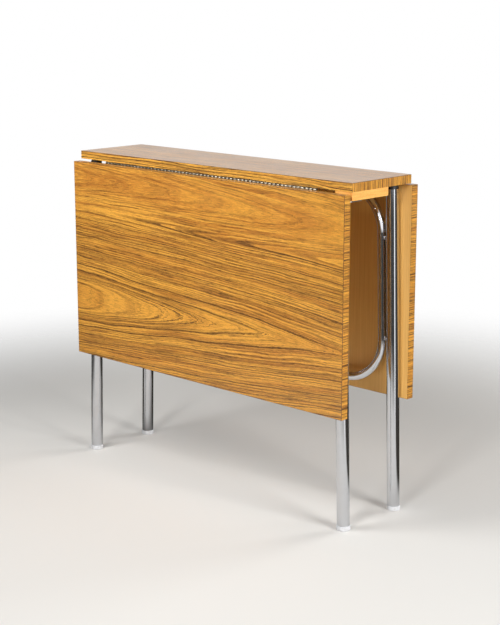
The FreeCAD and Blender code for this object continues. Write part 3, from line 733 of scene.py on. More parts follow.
@dataclass(frozen=True)
class Teak(Finish):
    """Teak-patterned laminate on one sheet or set of bands.

    The figure runs along one axis of the table and its rings lie across another. Hearts and
    shifts are millimetres in the table's frame.
    """

    along: Axis = Axis.X
    across: Axis = Axis.Z
    node: str = ""
    heart: float = 0.0
    rises: Span = (0.0, 0.0)
    apex: float = -900.0
    taper: float = 0.06
    far_heart: float = 0.0
    far_depth: float = 2000.0
    ring: float = 4.4
    seed: float = 0.0
    rim_width: float = 0.55
    rim_soft: float = 0.15
    roughness: float = 0.34
    smudge: float = 0.1
    scratch: float = 0.06
    coat: float = 0.4
    coat_roughness: float = 0.3
    relief: float = 0.04 * MM
    light: Colour = paint(249, 181, 72)
    middle: Colour = paint(194, 123, 46)
    dark: Colour = paint(74, 44, 22)
    rim_colour: Colour = paint(80, 50, 30)

    def draw(self, wires: Wiring, shader: bpy.types.Node) -> None:
        """Feeds the shader with rings and pores, and a dark line where a sheet is cut.

        Args:
            wires: The wiring of the material.
            shader: Its shader.
        """
        spots = wires.place()
        along, across = spots[self.along.value], spots[self.across.value]
        figure = Effects.teak.use(
            wires, Along=along, Across=across, Seed=self.seed, Ring=self.ring, Heart=self.heart,
            Rise_Above=self.rises[0], Rise_Below=self.rises[1], Apex=self.apex, Taper=self.taper,
            Far_Heart=self.far_heart, Far_Depth=self.far_depth, Light=self.light,
            Middle=self.middle, Dark=self.dark)
        colour = figure["Colour"]
        if self.node:
            colour = wires.blend(self.rim(wires, along, across), colour, self.rim_colour)
        wires.feed(shader.inputs["Base Color"], colour)
        self.wear(wires, shader, spots, self.roughness, self.smudge, self.scratch)
        shader.inputs["Coat Weight"].default_value = self.coat
        shader.inputs["Coat Roughness"].default_value = self.coat_roughness
        self.bump(wires, shader, figure["Relief"], self.relief)

    def rim(self, wires: Wiring, along: Socket, across: Socket) -> Socket:
        """Finds the cut edge of the sheet named in node.

        Args:
            wires: The wiring of the material.
            along: The place along the figure.
            across: The place across it.

        Returns:
            The mask of the edge.
        """
        low, high = (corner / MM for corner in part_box(self.node))
        middle, half = (high + low) / 2, (high - low) / 2
        return Effects.rim.use(
            wires, Along=along, Across=across,
            Middle_Along=middle[self.along.value], Middle_Across=middle[self.across.value],
            Half_Along=half[self.along.value], Half_Across=half[self.across.value],
            Width=self.rim_width, Soft=self.rim_soft)["Mask"]


@dataclass(frozen=True)
class PlainWood(Finish):
    """Quiet wood: the plain backing print or a sawn softwood batten."""

    along: Axis = Axis.X
    across: Axis = Axis.Z
    length: float = 180.0
    line: float = 3.0
    thickness: float = 4.0
    light: Colour = paint(241, 188, 104)
    dark: Colour = paint(211, 149, 60)
    contrast: float = 0.45
    streak_edge: Span = (0.3, 0.72)
    speckle: float = 0.0
    speckle_size: float = 1.4
    speckle_edge: Span = (0.45, 0.66)
    roughness: float = 0.42
    smudge: float = 0.12
    scratch: float = 0.05
    relief: float = 0.03 * MM

    def draw(self, wires: Wiring, shader: bpy.types.Node) -> None:
        """Feeds the shader with long soft streaks and a little speckle between the fibres.

        A streak is as thick into the wood as thickness lines.

        Args:
            wires: The wiring of the material.
            shader: Its shader.
        """
        spots = wires.place()
        third = sum(axis.value for axis in Axis) - self.along.value - self.across.value
        streaks = wires.noise(wires.over(spots[self.along.value], self.length),
                              wires.over(spots[self.across.value], self.line),
                              wires.over(spots[third], self.thickness * self.line),
                              detail=4.0, rough=0.6)
        dots = wires.noise(*(wires.over(spot, self.speckle_size) for spot in spots),
                           detail=2.0, rough=0.7)
        streak = wires.times(wires.step(streaks, *self.streak_edge), self.contrast)
        dot = wires.times(wires.step(dots, *self.speckle_edge), self.speckle)
        tone = wires.compute("ADD", streak, dot, clamp=True)
        wires.feed(shader.inputs["Base Color"], wires.blend(tone, self.light, self.dark))
        self.wear(wires, shader, spots, self.roughness, self.smudge, self.scratch)
        self.bump(wires, shader, wires.rest(tone), self.relief)


@dataclass(frozen=True)
class Chipboard(Finish):
    """Raw pressed flakes of the board cores."""

    flake: float = 2.2
    flake_edge: Span = (0.05, 0.5)
    light: Colour = paint(206, 172, 122)
    dark: Colour = paint(132, 98, 60)
    roughness: float = 0.85
    relief: float = 0.3 * MM

    def draw(self, wires: Wiring, shader: bpy.types.Node) -> None:
        """Feeds the shader with flakes of uneven tone and dark chinks between them.

        Args:
            wires: The wiring of the material.
            shader: Its shader.
        """
        x, y, z = (wires.over(spot, self.flake) for spot in wires.place())
        cells = wires.add("ShaderNodeTexVoronoi", {"Vector": wires.vector(x, y, z), "Scale": 1.0})
        uneven = wires.noise(x, y, z, detail=3.0, rough=0.6)
        tone = wires.times(cells.outputs["Distance"], uneven)
        shade = wires.step(tone, *self.flake_edge)
        wires.feed(shader.inputs["Base Color"], wires.blend(shade, self.light, self.dark))
        shader.inputs["Roughness"].default_value = self.roughness
        self.bump(wires, shader, wires.rest(shade), self.relief)


@dataclass(frozen=True)
class Plating(Finish):
    """Plated steel, from mirror chrome to dull zinc."""

    colour: Colour = paint(212, 214, 218)
    stain: Colour = paint(144, 136, 124)
    stained: float = 0.1
    stain_size: float = 26.0
    roughness: float = 0.06
    smudge: float = 0.06
    scratch: float = 0.12
    ripple_size: float = 5.0
    ripple: float = 0.002 * MM

    def draw(self, wires: Wiring, shader: bpy.types.Node) -> None:
        """Feeds the shader with metal: faint stains, smudges and a slight unevenness.

        Args:
            wires: The wiring of the material.
            shader: Its shader.
        """
        spots = wires.place()
        shader.inputs["Metallic"].default_value = 1.0
        self.dirty_colour(wires, shader, spots, self.stain_size, self.stained, self.colour,
                          self.stain)
        self.wear(wires, shader, spots, self.roughness, self.smudge, self.scratch)
        uneven = wires.noise(*(wires.over(spot, self.ripple_size) for spot in spots))
        self.bump(wires, shader, uneven, self.ripple)


@dataclass(frozen=True)
class Plastic(Finish):
    """Moulded plastic, scuffed and a little dirty in patches."""

    colour: Colour = paint(217, 218, 221)
    dirt: Colour = paint(120, 104, 84)
    dirty: float = 0.3
    dirt_size: float = 7.0
    roughness: float = 0.3
    smudge: float = 0.15
    scratch: float = 0.15
    grain_size: float = 0.5
    grain: float = 0.03 * MM

    def draw(self, wires: Wiring, shader: bpy.types.Node) -> None:
        """Feeds the shader with a satin skin: grime in patches and a fine moulded grain.

        Args:
            wires: The wiring of the material.
            shader: Its shader.
        """
        spots = wires.place()
        self.dirty_colour(wires, shader, spots, self.dirt_size, self.dirty, self.colour, self.dirt)
        self.wear(wires, shader, spots, self.roughness, self.smudge, self.scratch)
        grain = wires.noise(*(wires.over(spot, self.grain_size) for spot in spots))
        self.bump(wires, shader, grain, self.grain)


LEAF_PRINT = {"heart": 401.0, "rises": (-0.04, 0.045), "apex": -600.0, "taper": 0.0575,
              "far_heart": 676.0, "far_depth": 120.0}
END_PRINT = {"heart": -900.0, "taper": 0.0, "ring": 5.6}


class Finishes:
    """Every finish of the table."""

    centre_face: Finish = Teak("centre_face", Axis.X, Axis.Y, "centre_face", heart=-330.0,
                               ring=3.0, seed=11.3, coat=1.0)
    centre_long: Finish = Teak("centre_long_bands", Axis.X, Axis.Z, heart=560.0, seed=33.8,
                               light=paint(255, 194, 82), middle=paint(226, 152, 62))
    centre_end: Finish = Teak("centre_end_bands", Axis.Z, Axis.Y, **END_PRINT, seed=2.1)
    front_face: Finish = Teak("front_leaf_face", Axis.X, Axis.Z, "front_leaf_face", **LEAF_PRINT,
                              seed=31.9)
    rear_face: Finish = Teak("rear_leaf_face", Axis.X, Axis.Z, "rear_leaf_face", **LEAF_PRINT,
                             seed=8.6)
    leaf_long: Finish = Teak("leaf_long_bands", Axis.X, Axis.Y, heart=-420.0, seed=6.2)
    leaf_end: Finish = Teak("leaf_end_bands", Axis.Y, Axis.Z, **END_PRINT, seed=7.9)
    leaf_backing: Finish = PlainWood("backing", Axis.Z, Axis.X)
    centre_backing: Finish = PlainWood("centre_backing", Axis.Y, Axis.X)
    batten: Finish = PlainWood("batten", Axis.Y, Axis.Z, length=60.0, line=2.4,
                               light=paint(252, 192, 98), dark=paint(222, 140, 52), speckle=0.5,
                               roughness=0.55, relief=0.2 * MM)
    chipboard: Finish = Chipboard("chipboard")
    chrome: Finish = Plating("chrome")
    # dark nickel, brown in big patches: partly the metal's dull colour, partly painted shade of its
    # slot
    hinge: Finish = Plating("hinge_nickel", paint(146, 136, 120), paint(78, 62, 44), stained=0.6,
                            roughness=0.3, smudge=0.12, scratch=0.2, ripple=0.01 * MM)
    zinc: Finish = Plating("zinc", paint(188, 186, 178), paint(120, 110, 92), stained=0.4,
                           roughness=0.3, smudge=0.15, scratch=0.2, ripple=0.02 * MM)
    white: Finish = Plastic("white_plastic")
    black: Finish = Plastic("black_plastic", paint(22, 22, 24), paint(70, 62, 54), dirty=0.2,
                            roughness=0.4)


def dress(finish: Finish, *nodes: str) -> None:
    """Gives CAD nodes a finish through their material slots.

    Args:
        finish: The finish to wear.
        nodes: The names of the nodes.
    """
    for name in nodes:
        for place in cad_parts[name].material_slots:
            place.material = finish.material()
        LOG.info("dressed %s in %s", name, finish.name)


# ---------------------------------------------------------------- geometry node trees
class ShapeTree:
    """A geometry node tree with named inputs, which is run once on a mesh."""

    def __init__(self, name: str, inputs: dict[str, str]) -> None:
        """Makes the tree's sockets.

        Args:
            name: The tree's name.
            inputs: The kind of each named input, after its geometry.
        """
        self.tree = bpy.data.node_groups.new(name, "GeometryNodeTree")
        sockets = self.tree.interface
        sockets.new_socket(name="Geometry", in_out="INPUT", socket_type="NodeSocketGeometry")
        self.keys: dict[str, str] = {}
        for label, kind in {**inputs, "Finish": "Material"}.items():
            made = sockets.new_socket(name=label, in_out="INPUT", socket_type=f"NodeSocket{kind}")
            self.keys[label] = made.identifier
        sockets.new_socket(name="Geometry", in_out="OUTPUT", socket_type="NodeSocketGeometry")
        self.wires = Wiring(self.tree)
        self.given = self.wires.add("NodeGroupInput").outputs

    def end(self, geometry: Socket) -> None:
        """Realizes the instances, sets the material and feeds the tree's output.

        Args:
            geometry: The finished shape.
        """
        real = self.wires.add("GeometryNodeRealizeInstances", {0: geometry})
        painted = self.wires.add("GeometryNodeSetMaterial", {"Geometry": real.outputs[0],
                                                             "Material": self.given["Finish"]})
        self.wires.add("NodeGroupOutput", {0: painted.outputs[0]})

    def run(self, piece: bpy.types.Object, **values: object) -> None:
        """Evaluates the tree on a piece and leaves the result as its plain mesh.

        Args:
            piece: The object whose mesh is the tree's geometry input.
            values: The tree's inputs, by name.
        """
        modifier = piece.modifiers.new("shape", "NODES")
        modifier.node_group = self.tree
        for label, value in values.items():
            modifier[self.keys[label]] = value
        settle(piece)


def settle(piece: bpy.types.Object) -> None:
    """Turns a piece's evaluated modifiers into its plain mesh and removes them.

    Args:
        piece: The object with the modifiers.
    """
    bpy.context.view_layer.update()
    depsgraph = bpy.context.evaluated_depsgraph_get()
    mesh = bpy.data.meshes.new_from_object(piece.evaluated_get(depsgraph), depsgraph=depsgraph)
    piece.modifiers.clear()
    piece.data = mesh


def row_tree() -> ShapeTree:
    """Builds a tree that joins a bar with a row of like links set along it.

    Returns:
        The tree.
    """
    shape = ShapeTree("Links along a bar", {"Link": "Object", "Count": "Int", "Start": "Vector",
                                            "Step": "Vector"})
    wires, given = shape.wires, shape.given
    line = wires.add("GeometryNodeMeshLine", {
        "Count": given["Count"], "Start Location": given["Start"], "Offset": given["Step"]})
    link = wires.add("GeometryNodeObjectInfo", {"Object": given["Link"]})
    row = wires.add("GeometryNodeInstanceOnPoints", {"Points": line.outputs[0],
                                                     "Instance": link.outputs["Geometry"]})
    both = wires.add("GeometryNodeJoinGeometry")
    for geometry in (given["Geometry"], row.outputs[0]):
        wires.feed(both.inputs[0], geometry)
    shape.end(both.outputs[0])
    return shape


def scatter_tree() -> ShapeTree:
    """Builds a tree that sets a link on every point of a mesh, spun at random.

    Returns:
        The tree.
    """
    shape = ShapeTree("Links on points", {"Link": "Object", "Turn": "Rotation", "Seed": "Int"})
    wires, given = shape.wires, shape.given
    link = wires.add("GeometryNodeObjectInfo", {"Object": given["Link"]})
    placed = wires.add("GeometryNodeInstanceOnPoints", {
        "Points": given["Geometry"], "Instance": link.outputs["Geometry"],
        "Rotation": given["Turn"]})
    spun = wires.add("GeometryNodeRotateInstances", {
        "Instances": placed.outputs[0], "Local Space": True,
        "Rotation": wires.vector(0.0, 0.0, random_number(shape, 0.0, math.tau))})
    shape.end(spun.outputs[0])
    return shape


def bead_tree(smallest: float = 0.8, largest: float = 1.15, roundness: int = 2) -> ShapeTree:
    """Builds a tree that lays overlapping drops of weld along every line of a mesh.

    Args:
        smallest: The smallest drop's share of the size given.
        largest: The largest drop's share.
        roundness: How often a drop's faces are divided.

    Returns:
        The tree.
    """
    shape = ShapeTree("Weld beads", {"Drop": "Float", "Step": "Float", "Seed": "Int"})
    wires, given = shape.wires, shape.given
    line = wires.add("GeometryNodeMeshToCurve", {"Mesh": given["Geometry"]})
    spaced = wires.add("GeometryNodeResampleCurve", {
        "Curve": line.outputs[0], "Length": given["Step"]}, mode="LENGTH")
    drop = wires.add("GeometryNodeMeshIcoSphere", {"Radius": given["Drop"],
                                                   "Subdivisions": roundness})
    placed = wires.add("GeometryNodeInstanceOnPoints", {
        "Points": spaced.outputs[0], "Instance": drop.outputs[0],
        "Scale": random_number(shape, smallest, largest)})
    smooth = wires.add("GeometryNodeSetShadeSmooth", {"Geometry": placed.outputs[0]})
    shape.end(smooth.outputs[0])
    return shape


def random_number(shape: ShapeTree, low: float, high: float) -> Socket:
    """Adds a random number for each instance, from the tree's seed.

    Args:
        shape: The tree, with an input named Seed.
        low: The least value.
        high: The greatest value.

    Returns:
        The number.
    """
    low_input, high_input, number_output = 2, 3, 1
    node = shape.wires.add("FunctionNodeRandomValue", {
        low_input: low, high_input: high, "Seed": shape.given["Seed"]}, data_type="FLOAT")
    return node.outputs[number_output]


class Shapes:
    """The shared geometry node trees, each built once."""

    row: ShapeTree = row_tree()
    scatter: ShapeTree = scatter_tree()
    beads: ShapeTree = bead_tree()


# ---------------------------------------------------------------- mesh helpers
def new_piece(name: str, shape: bmesh.types.BMesh) -> bpy.types.Object:
    """Makes an object at the origin.

    Args:
        name: The object's name.
        shape: Its mesh, which is freed.

    Returns:
        The object, linked to the scene.
    """
    mesh = bpy.data.meshes.new(name)
    shape.to_mesh(mesh)
    shape.free()
    piece = bpy.data.objects.new(name, mesh)
    bpy.context.scene.collection.objects.link(piece)
    return piece


def drop_helper(helper: bpy.types.Object) -> None:
    """Removes an object that only served to shape another."""
    bpy.data.objects.remove(helper, do_unlink=True)


def islands(node: str) -> list[tuple[Vector, Vector]]:
    """Finds the box of each separate solid in a CAD node.

    Args:
        node: The node's name.

    Returns:
        The lowest and highest corners of every solid, in order along X, then Y, then Z.
    """
    shape = bmesh.new()
    shape.from_mesh(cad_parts[node].data)
    bmesh.ops.remove_doubles(shape, verts=shape.verts, dist=MERGE_DISTANCE)
    left = set(shape.verts)
    found = []
    while left:
        front = [left.pop()]
        solid = list(front)
        while front:
            vert = front.pop()
            for edge in vert.link_edges:
                other = edge.other_vert(vert)
                if other in left:
                    left.discard(other)
                    front.append(other)
                    solid.append(other)
        low, high = (Vector(pick(vert.co[axis.value] for vert in solid) for axis in Axis)
                     for pick in (min, max))
        found.append((low, high))
    shape.free()
    places = 5
    return sorted(found, key=lambda pair: tuple(round(part, places) for part in pair[0]))


def turned_solid(shape: bmesh.types.BMesh, profile: list[Span], steps: int) -> None:
    """Spins a profile about Z into a closed, outward-facing skin.

    Args:
        shape: The mesh to add it to.
        profile: Points of (radius, height), from the axis back to the axis.
        steps: How many faces go round.
    """
    verts = [shape.verts.new((radius, 0.0, height)) for radius, height in profile]
    edges = [shape.edges.new(pair) for pair in zip(verts, verts[1:])]
    bmesh.ops.spin(shape, geom=verts + edges, cent=(0, 0, 0), axis=UP, angle=math.tau,
                   steps=steps, use_merge=True)
    bmesh.ops.remove_doubles(shape, verts=shape.verts, dist=MERGE_DISTANCE)
    bmesh.ops.recalc_face_normals(shape, faces=shape.faces)


def prism(shape: bmesh.types.BMesh, low: Vector, high: Vector, bevel: float) -> None:
    """Adds a box between two corners.

    Args:
        shape: The mesh to add it to.
        low: The lowest corner.
        high: The highest corner.
        bevel: The width of the bevel on its edges, or 0 for sharp ones.
    """
    made = bmesh.ops.create_cube(shape, size=1.0)["verts"]
    bmesh.ops.scale(shape, vec=high - low, verts=made)
    bmesh.ops.translate(shape, vec=(high + low) / 2, verts=made)
    if bevel:
        edges = {edge for vert in made for edge in vert.link_edges}
        bmesh.ops.bevel(shape, geom=list(edges), offset=bevel, segments=2, profile=0.5,
                        affect="EDGES")


def smooth_faces(piece: bpy.types.Object, angle: float) -> None:
    """Shades a piece smooth, with sharp edges past an angle in radians."""
    piece.data.shade_smooth()
    piece.data.set_sharp_from_angle(angle=angle)


def circle(centre: Vector, radius: float, first: Vector, second: Vector, count: int) -> list[Vector]:
    """Places points round a circle.

    Args:
        centre: The circle's centre.
        radius: Its radius.
        first: The direction of the first point, one long.
        second: The direction a quarter turn on, one long.
        count: How many points there are.

    Returns:
        The points.
    """
    angles = [number / count * math.tau for number in range(count)]
    return [centre + radius * (math.cos(angle) * first + math.sin(angle) * second)
            for angle in angles]


def close_line(lines: bmesh.types.BMesh, ring: list[Vector]) -> None:
    """Adds a closed line through points.

    Args:
        lines: The mesh to add it to.
        ring: The points in order.
    """
    verts = [lines.verts.new(point) for point in ring]
    for pair in zip(verts, verts[1:] + verts[:1]):
        lines.edges.new(pair)


# ---------------------------------------------------------------- sub-assemblies
@dataclass
class Boards:
    """The centre board and both leaves: laminate, bands, backing and core."""

    centre: str = "centre"
    leaves: tuple[str, ...] = ("front_leaf", "rear_leaf")

    def build(self) -> None:
        """Dresses every layer of the three boards, and the battens under the centre."""
        dress(Finishes.centre_face, f"{self.centre}_face")
        dress(Finishes.centre_long, f"{self.centre}_long_bands")
        dress(Finishes.centre_end, f"{self.centre}_end_bands")
        dress(Finishes.centre_backing, f"{self.centre}_backing")
        for leaf, face in zip(self.leaves, (Finishes.front_face, Finishes.rear_face)):
            dress(face, f"{leaf}_face")
            dress(Finishes.leaf_long, f"{leaf}_long_bands")
            dress(Finishes.leaf_end, f"{leaf}_end_bands")
            dress(Finishes.leaf_backing, f"{leaf}_backing")
        dress(Finishes.chipboard, *(f"{board}_core" for board in (self.centre, *self.leaves)))
        dress(Finishes.batten, "left_batten", "right_batten")


@dataclass
class Screws:
    """Cross-head screws in the place of one CAD group of plain ones."""

    node: str
    body: Body
    drive: Vector
    head_radius: float = 3.6 * MM
    head_height: float = 1.4 * MM
    crown_share: float = 0.8
    shank_radius: float = 1.75 * MM
    recess_width: float = 1.1 * MM
    recess_reach: float = 2.1 * MM
    recess_depth: float = 0.9 * MM
    dome_steps: int = 6
    turn_steps: int = 28
    smooth_angle: float = math.radians(38)

    def build(self) -> None:
        """Sets one screw at each solid of the group."""
        boxes = islands(self.node)
        pattern = self.one_screw(self.length(*boxes[0]))
        points = bmesh.new()
        for low, high in boxes:
            points.verts.new((low + high) / 2 - self.drive * self.length(low, high) / 2)
        piece = new_piece(f"{self.node}_cross_head", points)
        Shapes.scatter.run(piece, Link=pattern, Turn=UP.rotation_difference(self.drive).to_euler(),
                           Seed=len(boxes), Finish=Finishes.zinc.material())
        drop_helper(pattern)
        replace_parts(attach(piece, self.body.value), self.node)
        LOG.info("%s: %d screws", piece.name, len(boxes))

    def length(self, low: Vector, high: Vector) -> float:
        """How long the box of one screw is along its drive."""
        return abs((high - low).dot(self.drive))

    def one_screw(self, length: float) -> bpy.types.Object:
        """Makes one screw with its head's crown at the origin and its point up.

        Args:
            length: From the crown to the point.

        Returns:
            A helper object.
        """
        profile = [(0.0, 0.0)]
        for step in range(1, self.dome_steps + 1):
            angle = step / self.dome_steps * math.pi / 2
            profile.append((self.head_radius * math.sin(angle),
                            self.head_height * self.crown_share * (1 - math.cos(angle))))
        profile += [(self.head_radius, self.head_height), (self.shank_radius, self.head_height),
                    (self.shank_radius, length), (0.0, length)]
        shape = bmesh.new()
        turned_solid(shape, profile, self.turn_steps)
        screw = new_piece("screw_pattern", shape)
        cutter = self.recess()
        cut = screw.modifiers.new("recess", "BOOLEAN")
        cut.object = cutter
        cut.solver = "EXACT"
        cut.use_self = True
        settle(screw)
        drop_helper(cutter)
        smooth_faces(screw, self.smooth_angle)
        return screw

    def recess(self) -> bpy.types.Object:
        """Makes the cross that is cut out of the head.

        Returns:
            A helper object.
        """
        shape = bmesh.new()
        half, reach = self.recess_width / 2, self.recess_reach
        for x, y in ((reach, half), (half, reach)):
            corner = Vector((x, y, self.recess_depth))
            prism(shape, -corner, corner, 0.0)
        return new_piece("recess_pattern", shape)


@dataclass
class Hinge:
    """A piano hinge: two strips with rolled knuckles that interleave on one pin.

    Its own frame has the pin along X and both strips level, a little above the pin's centre line:
    the fixed one towards -Y and the leaf's, before it is turned to hang, towards +Y. The sizes
    that follow the solids are read from them.
    """

    side: Side
    plate: float = 1.2 * MM
    gap: float = 0.5 * MM
    knuckle_round: float = 0.45 * MM
    roll: float = math.radians(318)
    roll_steps: int = 26
    knuckles: int = 57
    strip_bevel: float = 0.15 * MM
    tongue_end: float = 0.6
    smooth_angle: float = math.radians(32)
    centre: Vector = field(init=False)
    length: float = field(init=False)
    step: float = field(init=False)
    width: float = field(init=False)
    radius: float = field(init=False)
    top: float = field(init=False)

    def __post_init__(self) -> None:
        """Reads the sizes that follow the solids."""
        word = self.side.word
        low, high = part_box(f"{word}_hinge_pin")
        self.centre = (low + high) / 2
        self.length = high.x - low.x
        self.step = self.length / self.knuckles
        self.width = abs(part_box(f"{word}_hinge_leaf_plate")[0].z - self.centre.z)
        lowest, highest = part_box(f"{word}_hinge_fixed_plate")
        self.radius = self.centre.z - lowest.z
        self.top = highest.z - self.centre.z

    def build(self) -> None:
        """Builds both strips and dresses the pin."""
        place = Matrix.Translation(self.centre) @ self.side.turn
        hang = Matrix.Rotation(-math.pi / 2, 4, "X")
        self.strip("fixed", Body.TOP, place, first=0, hand=-1.0)
        self.strip("leaf", self.side.leaf, place @ hang, first=1, hand=1.0)
        dress(Finishes.hinge, f"{self.side.word}_hinge_pin")

    def strip(self, kind: str, body: Body, place: Matrix, first: int, hand: float) -> None:
        """Builds one strip with every second knuckle.

        Args:
            kind: fixed or leaf, as in the node's name.
            body: The body that the strip moves with.
            place: From the hinge's own frame to the table's.
            first: The first knuckle that belongs to the strip, 0 or 1.
            hand: -1 when the strip lies towards -Y, 1 towards +Y.
        """
        count = (self.knuckles + 1 - first) // 2
        near, far = sorted((hand * (self.radius + self.gap), hand * self.width))
        bar = bmesh.new()
        prism(bar, Vector((-self.length / 2, near, self.top - self.plate)),
              Vector((self.length / 2, far, self.top)), self.strip_bevel)
        name = f"{self.side.word}_hinge_{kind}_plate"
        piece = new_piece(f"{name}_rolled", bar)
        pattern = self.knuckle(hand)
        Shapes.row.run(piece, Link=pattern, Count=count,
                       Start=(-self.length / 2 + (first + 0.5) * self.step, 0.0, 0.0),
                       Step=(2 * self.step, 0.0, 0.0), Finish=Finishes.hinge.material())
        drop_helper(pattern)
        piece.data.transform(place)
        smooth_faces(piece, self.smooth_angle)
        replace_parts(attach(piece, body.value), name)
        LOG.info("%s: %d knuckles", piece.name, count)

    def knuckle_path(self, hand: float) -> list[Vector]:
        """Follows the middle of the strip's metal from its tongue round the pin.

        Args:
            hand: -1 when the tongue comes from -Y, 1 from +Y.

        Returns:
            Points across the pin, at X 0.
        """
        height, middle = self.top - self.plate / 2, self.radius - self.plate / 2
        path = [Vector((0, hand * (self.radius + 2 * self.gap), height)),
                Vector((0, hand * self.radius * self.tongue_end, height))]
        for number in range(self.roll_steps + 1):
            angle = math.pi / 2 + hand * number / self.roll_steps * self.roll
            path.append(Vector((0, middle * math.cos(angle), middle * math.sin(angle))))
        return path

    def knuckle(self, hand: float) -> bpy.types.Object:
        """Makes one knuckle: a tongue of the strip rolled round the pin, with eased ends.

        Args:
            hand: -1 when the tongue comes from -Y, 1 from +Y.

        Returns:
            A helper object, centred on the pin's axis.
        """
        path = self.knuckle_path(hand)
        last = len(path) - 1
        half = (self.step - self.gap) / 2
        ease = self.knuckle_round
        shape = bmesh.new()
        loops = []
        for place, inset in ((-half, ease), (ease - half, 0.0), (half - ease, 0.0), (half, ease)):
            outline = []
            for side in (1, -1):
                for number in range(len(path))[::side]:
                    ahead = path[min(number + 1, last)] - path[max(number - 1, 0)]
                    out = Vector((0, -ahead.z, ahead.y)).normalized() * side * hand
                    spot = path[number] - out * (self.plate - inset) / 2
                    outline.append(shape.verts.new((place, spot.y, spot.z)))
            loops.append(outline)
        count = len(loops[0])
        for ring, following in zip(loops, loops[1:]):
            for number in range(count):
                after = (number + 1) % count
                shape.faces.new((ring[number], ring[after], following[after], following[number]))
        for ring in (loops[0], loops[-1]):
            for number in range(count // 2 - 1):
                shape.faces.new((ring[number], ring[number + 1], ring[count - 2 - number],
                                 ring[count - 1 - number]))
        bmesh.ops.recalc_face_normals(shape, faces=shape.faces)
        return new_piece("knuckle_pattern", shape)


@dataclass
class TubeFrame:
    """A leg with its loop and studs, beside the post that carries it."""

    side: Side
    swings: bool
    leg_radius: float = 14 * MM
    loop_radius: float = 10 * MM
    stud_weld_radius: float = 4.2 * MM
    stud_weld_inset: float = 0.8 * MM
    drop: float = 1.3 * MM
    drop_step: float = 1.0 * MM
    drop_seed: int = 3
    ring_points: int = 48

    @property
    def body(self) -> Body:
        """The body that the leg moves with."""
        return self.side.gate if self.swings else Body.TOP

    @property
    def word(self) -> str:
        """The start of the leg's node names."""
        return f"{self.side.word}_{'gate' if self.swings else 'fixed'}"

    def build(self) -> None:
        """Dresses the tubes and lays the welds."""
        side, word = self.side.word, self.word
        dress(Finishes.chrome, f"{word}_leg", f"{word}_loop", f"{word}_studs")
        dress(Finishes.white, f"{word}_foot")
        if self.swings:
            dress(Finishes.black, f"{word}_plug")
            dress(Finishes.chrome, f"{word}_collars")
        else:
            dress(Finishes.chrome, f"{side}_post")
            dress(Finishes.zinc, f"{side}_leg_plate", f"{side}_post_plate")
            dress(Finishes.black, f"{side}_post_cap")
        self.welds()

    def welds(self) -> None:
        """Lays a bead where the loop meets its carrier, under the plates and round each stud."""
        lines = bmesh.new()
        for ring in self.loop_rings() + self.plate_rings() + self.stud_rings():
            close_line(lines, ring)
        piece = new_piece(f"{self.word}_welds", lines)
        Shapes.beads.run(piece, Drop=self.drop, Step=self.drop_step, Seed=self.drop_seed,
                         Finish=Finishes.chrome.material())
        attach(piece, self.body.value)
        LOG.info("%s: %d faces", piece.name, len(piece.data.polygons))

    @staticmethod
    def middle(node: str) -> Vector:
        """The middle of a node's box."""
        low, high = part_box(node)
        return (low + high) / 2

    def heading(self) -> Matrix:
        """Finds the way from the post to the leg.

        Returns:
            The turn that carries +X to it.
        """
        reach = self.middle(f"{self.word}_foot") - self.middle(f"{self.side.word}_post")
        return Matrix.Rotation(math.atan2(reach.y, reach.x), 4, "Z")

    def loop_rings(self) -> list[list[Vector]]:
        """Finds the joints between the loop's ends and the post, or the collar round it.

        Returns:
            The points round each joint.
        """
        post = self.middle(f"{self.side.word}_post")
        place = Matrix.Translation((post.x, post.y, 0)) @ self.heading()
        low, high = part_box(f"{self.word}_collars" if self.swings else f"{self.side.word}_post")
        carrier = (high.x - low.x) / 2
        low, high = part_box(f"{self.word}_loop")
        rings = []
        for height in (high.z - self.loop_radius, low.z + self.loop_radius):
            flat = circle(Vector((0, 0, height)), self.loop_radius, Vector((0, 1, 0)), UP,
                          self.ring_points)
            rings.append([place @ Vector((math.sqrt(carrier ** 2 - spot.y ** 2), spot.y, spot.z))
                          for spot in flat])
        return rings

    def plate_rings(self) -> list[list[Vector]]:
        """Finds the joints of a fixed leg and its post with the plates above them.

        Returns:
            The points round each joint, or none where the leg swings.
        """
        if self.swings:
            return []
        side = self.side.word
        foot, post = self.middle(f"{self.word}_foot"), self.middle(f"{side}_post")
        low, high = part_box(f"{self.word}_leg")
        top = low.x + self.leg_radius if foot.x > 0 else high.x - self.leg_radius
        lean = self.heading().to_3x3() @ Vector((1, 0, 0))
        leg = foot + lean * (top - foot.x) / lean.x
        low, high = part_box(f"{side}_post")
        rings = []
        for centre, radius, plate in ((leg, self.leg_radius, f"{side}_leg_plate"),
                                      (post, (high.x - low.x) / 2, f"{side}_post_plate")):
            under = Vector((centre.x, centre.y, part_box(plate)[0].z))
            rings.append(circle(under, radius, Vector((1, 0, 0)), Vector((0, 1, 0)),
                                self.ring_points))
        return rings

    def stud_rings(self) -> list[list[Vector]]:
        """Finds both ends of each stud between the loop and the leg.

        Returns:
            The points round each end.
        """
        rings = []
        for low, high in islands(f"{self.word}_studs"):
            middle = (low + high) / 2
            for x in (low.x + self.stud_weld_inset, high.x - self.stud_weld_inset):
                rings.append(circle(Vector((x, middle.y, middle.z)), self.stud_weld_radius,
                                    Vector((0, 1, 0)), UP, self.ring_points // 2))
        return rings


@dataclass(frozen=True)
class Lamp:
    """A square soft lamp that faces a point."""

    name: str
    place: Triple
    target: Triple
    size: float
    power: float

    def build(self) -> None:
        """Adds the lamp to the scene."""
        light = bpy.data.lights.new(self.name, "AREA")
        light.size = self.size
        light.energy = self.power
        lamp = bpy.data.objects.new(self.name, light)
        bpy.context.scene.collection.objects.link(lamp)
        lamp.location = self.place
        facing = Vector(self.target) - Vector(self.place)
        lamp.rotation_euler = facing.to_track_quat("-Z", "Y").to_euler()


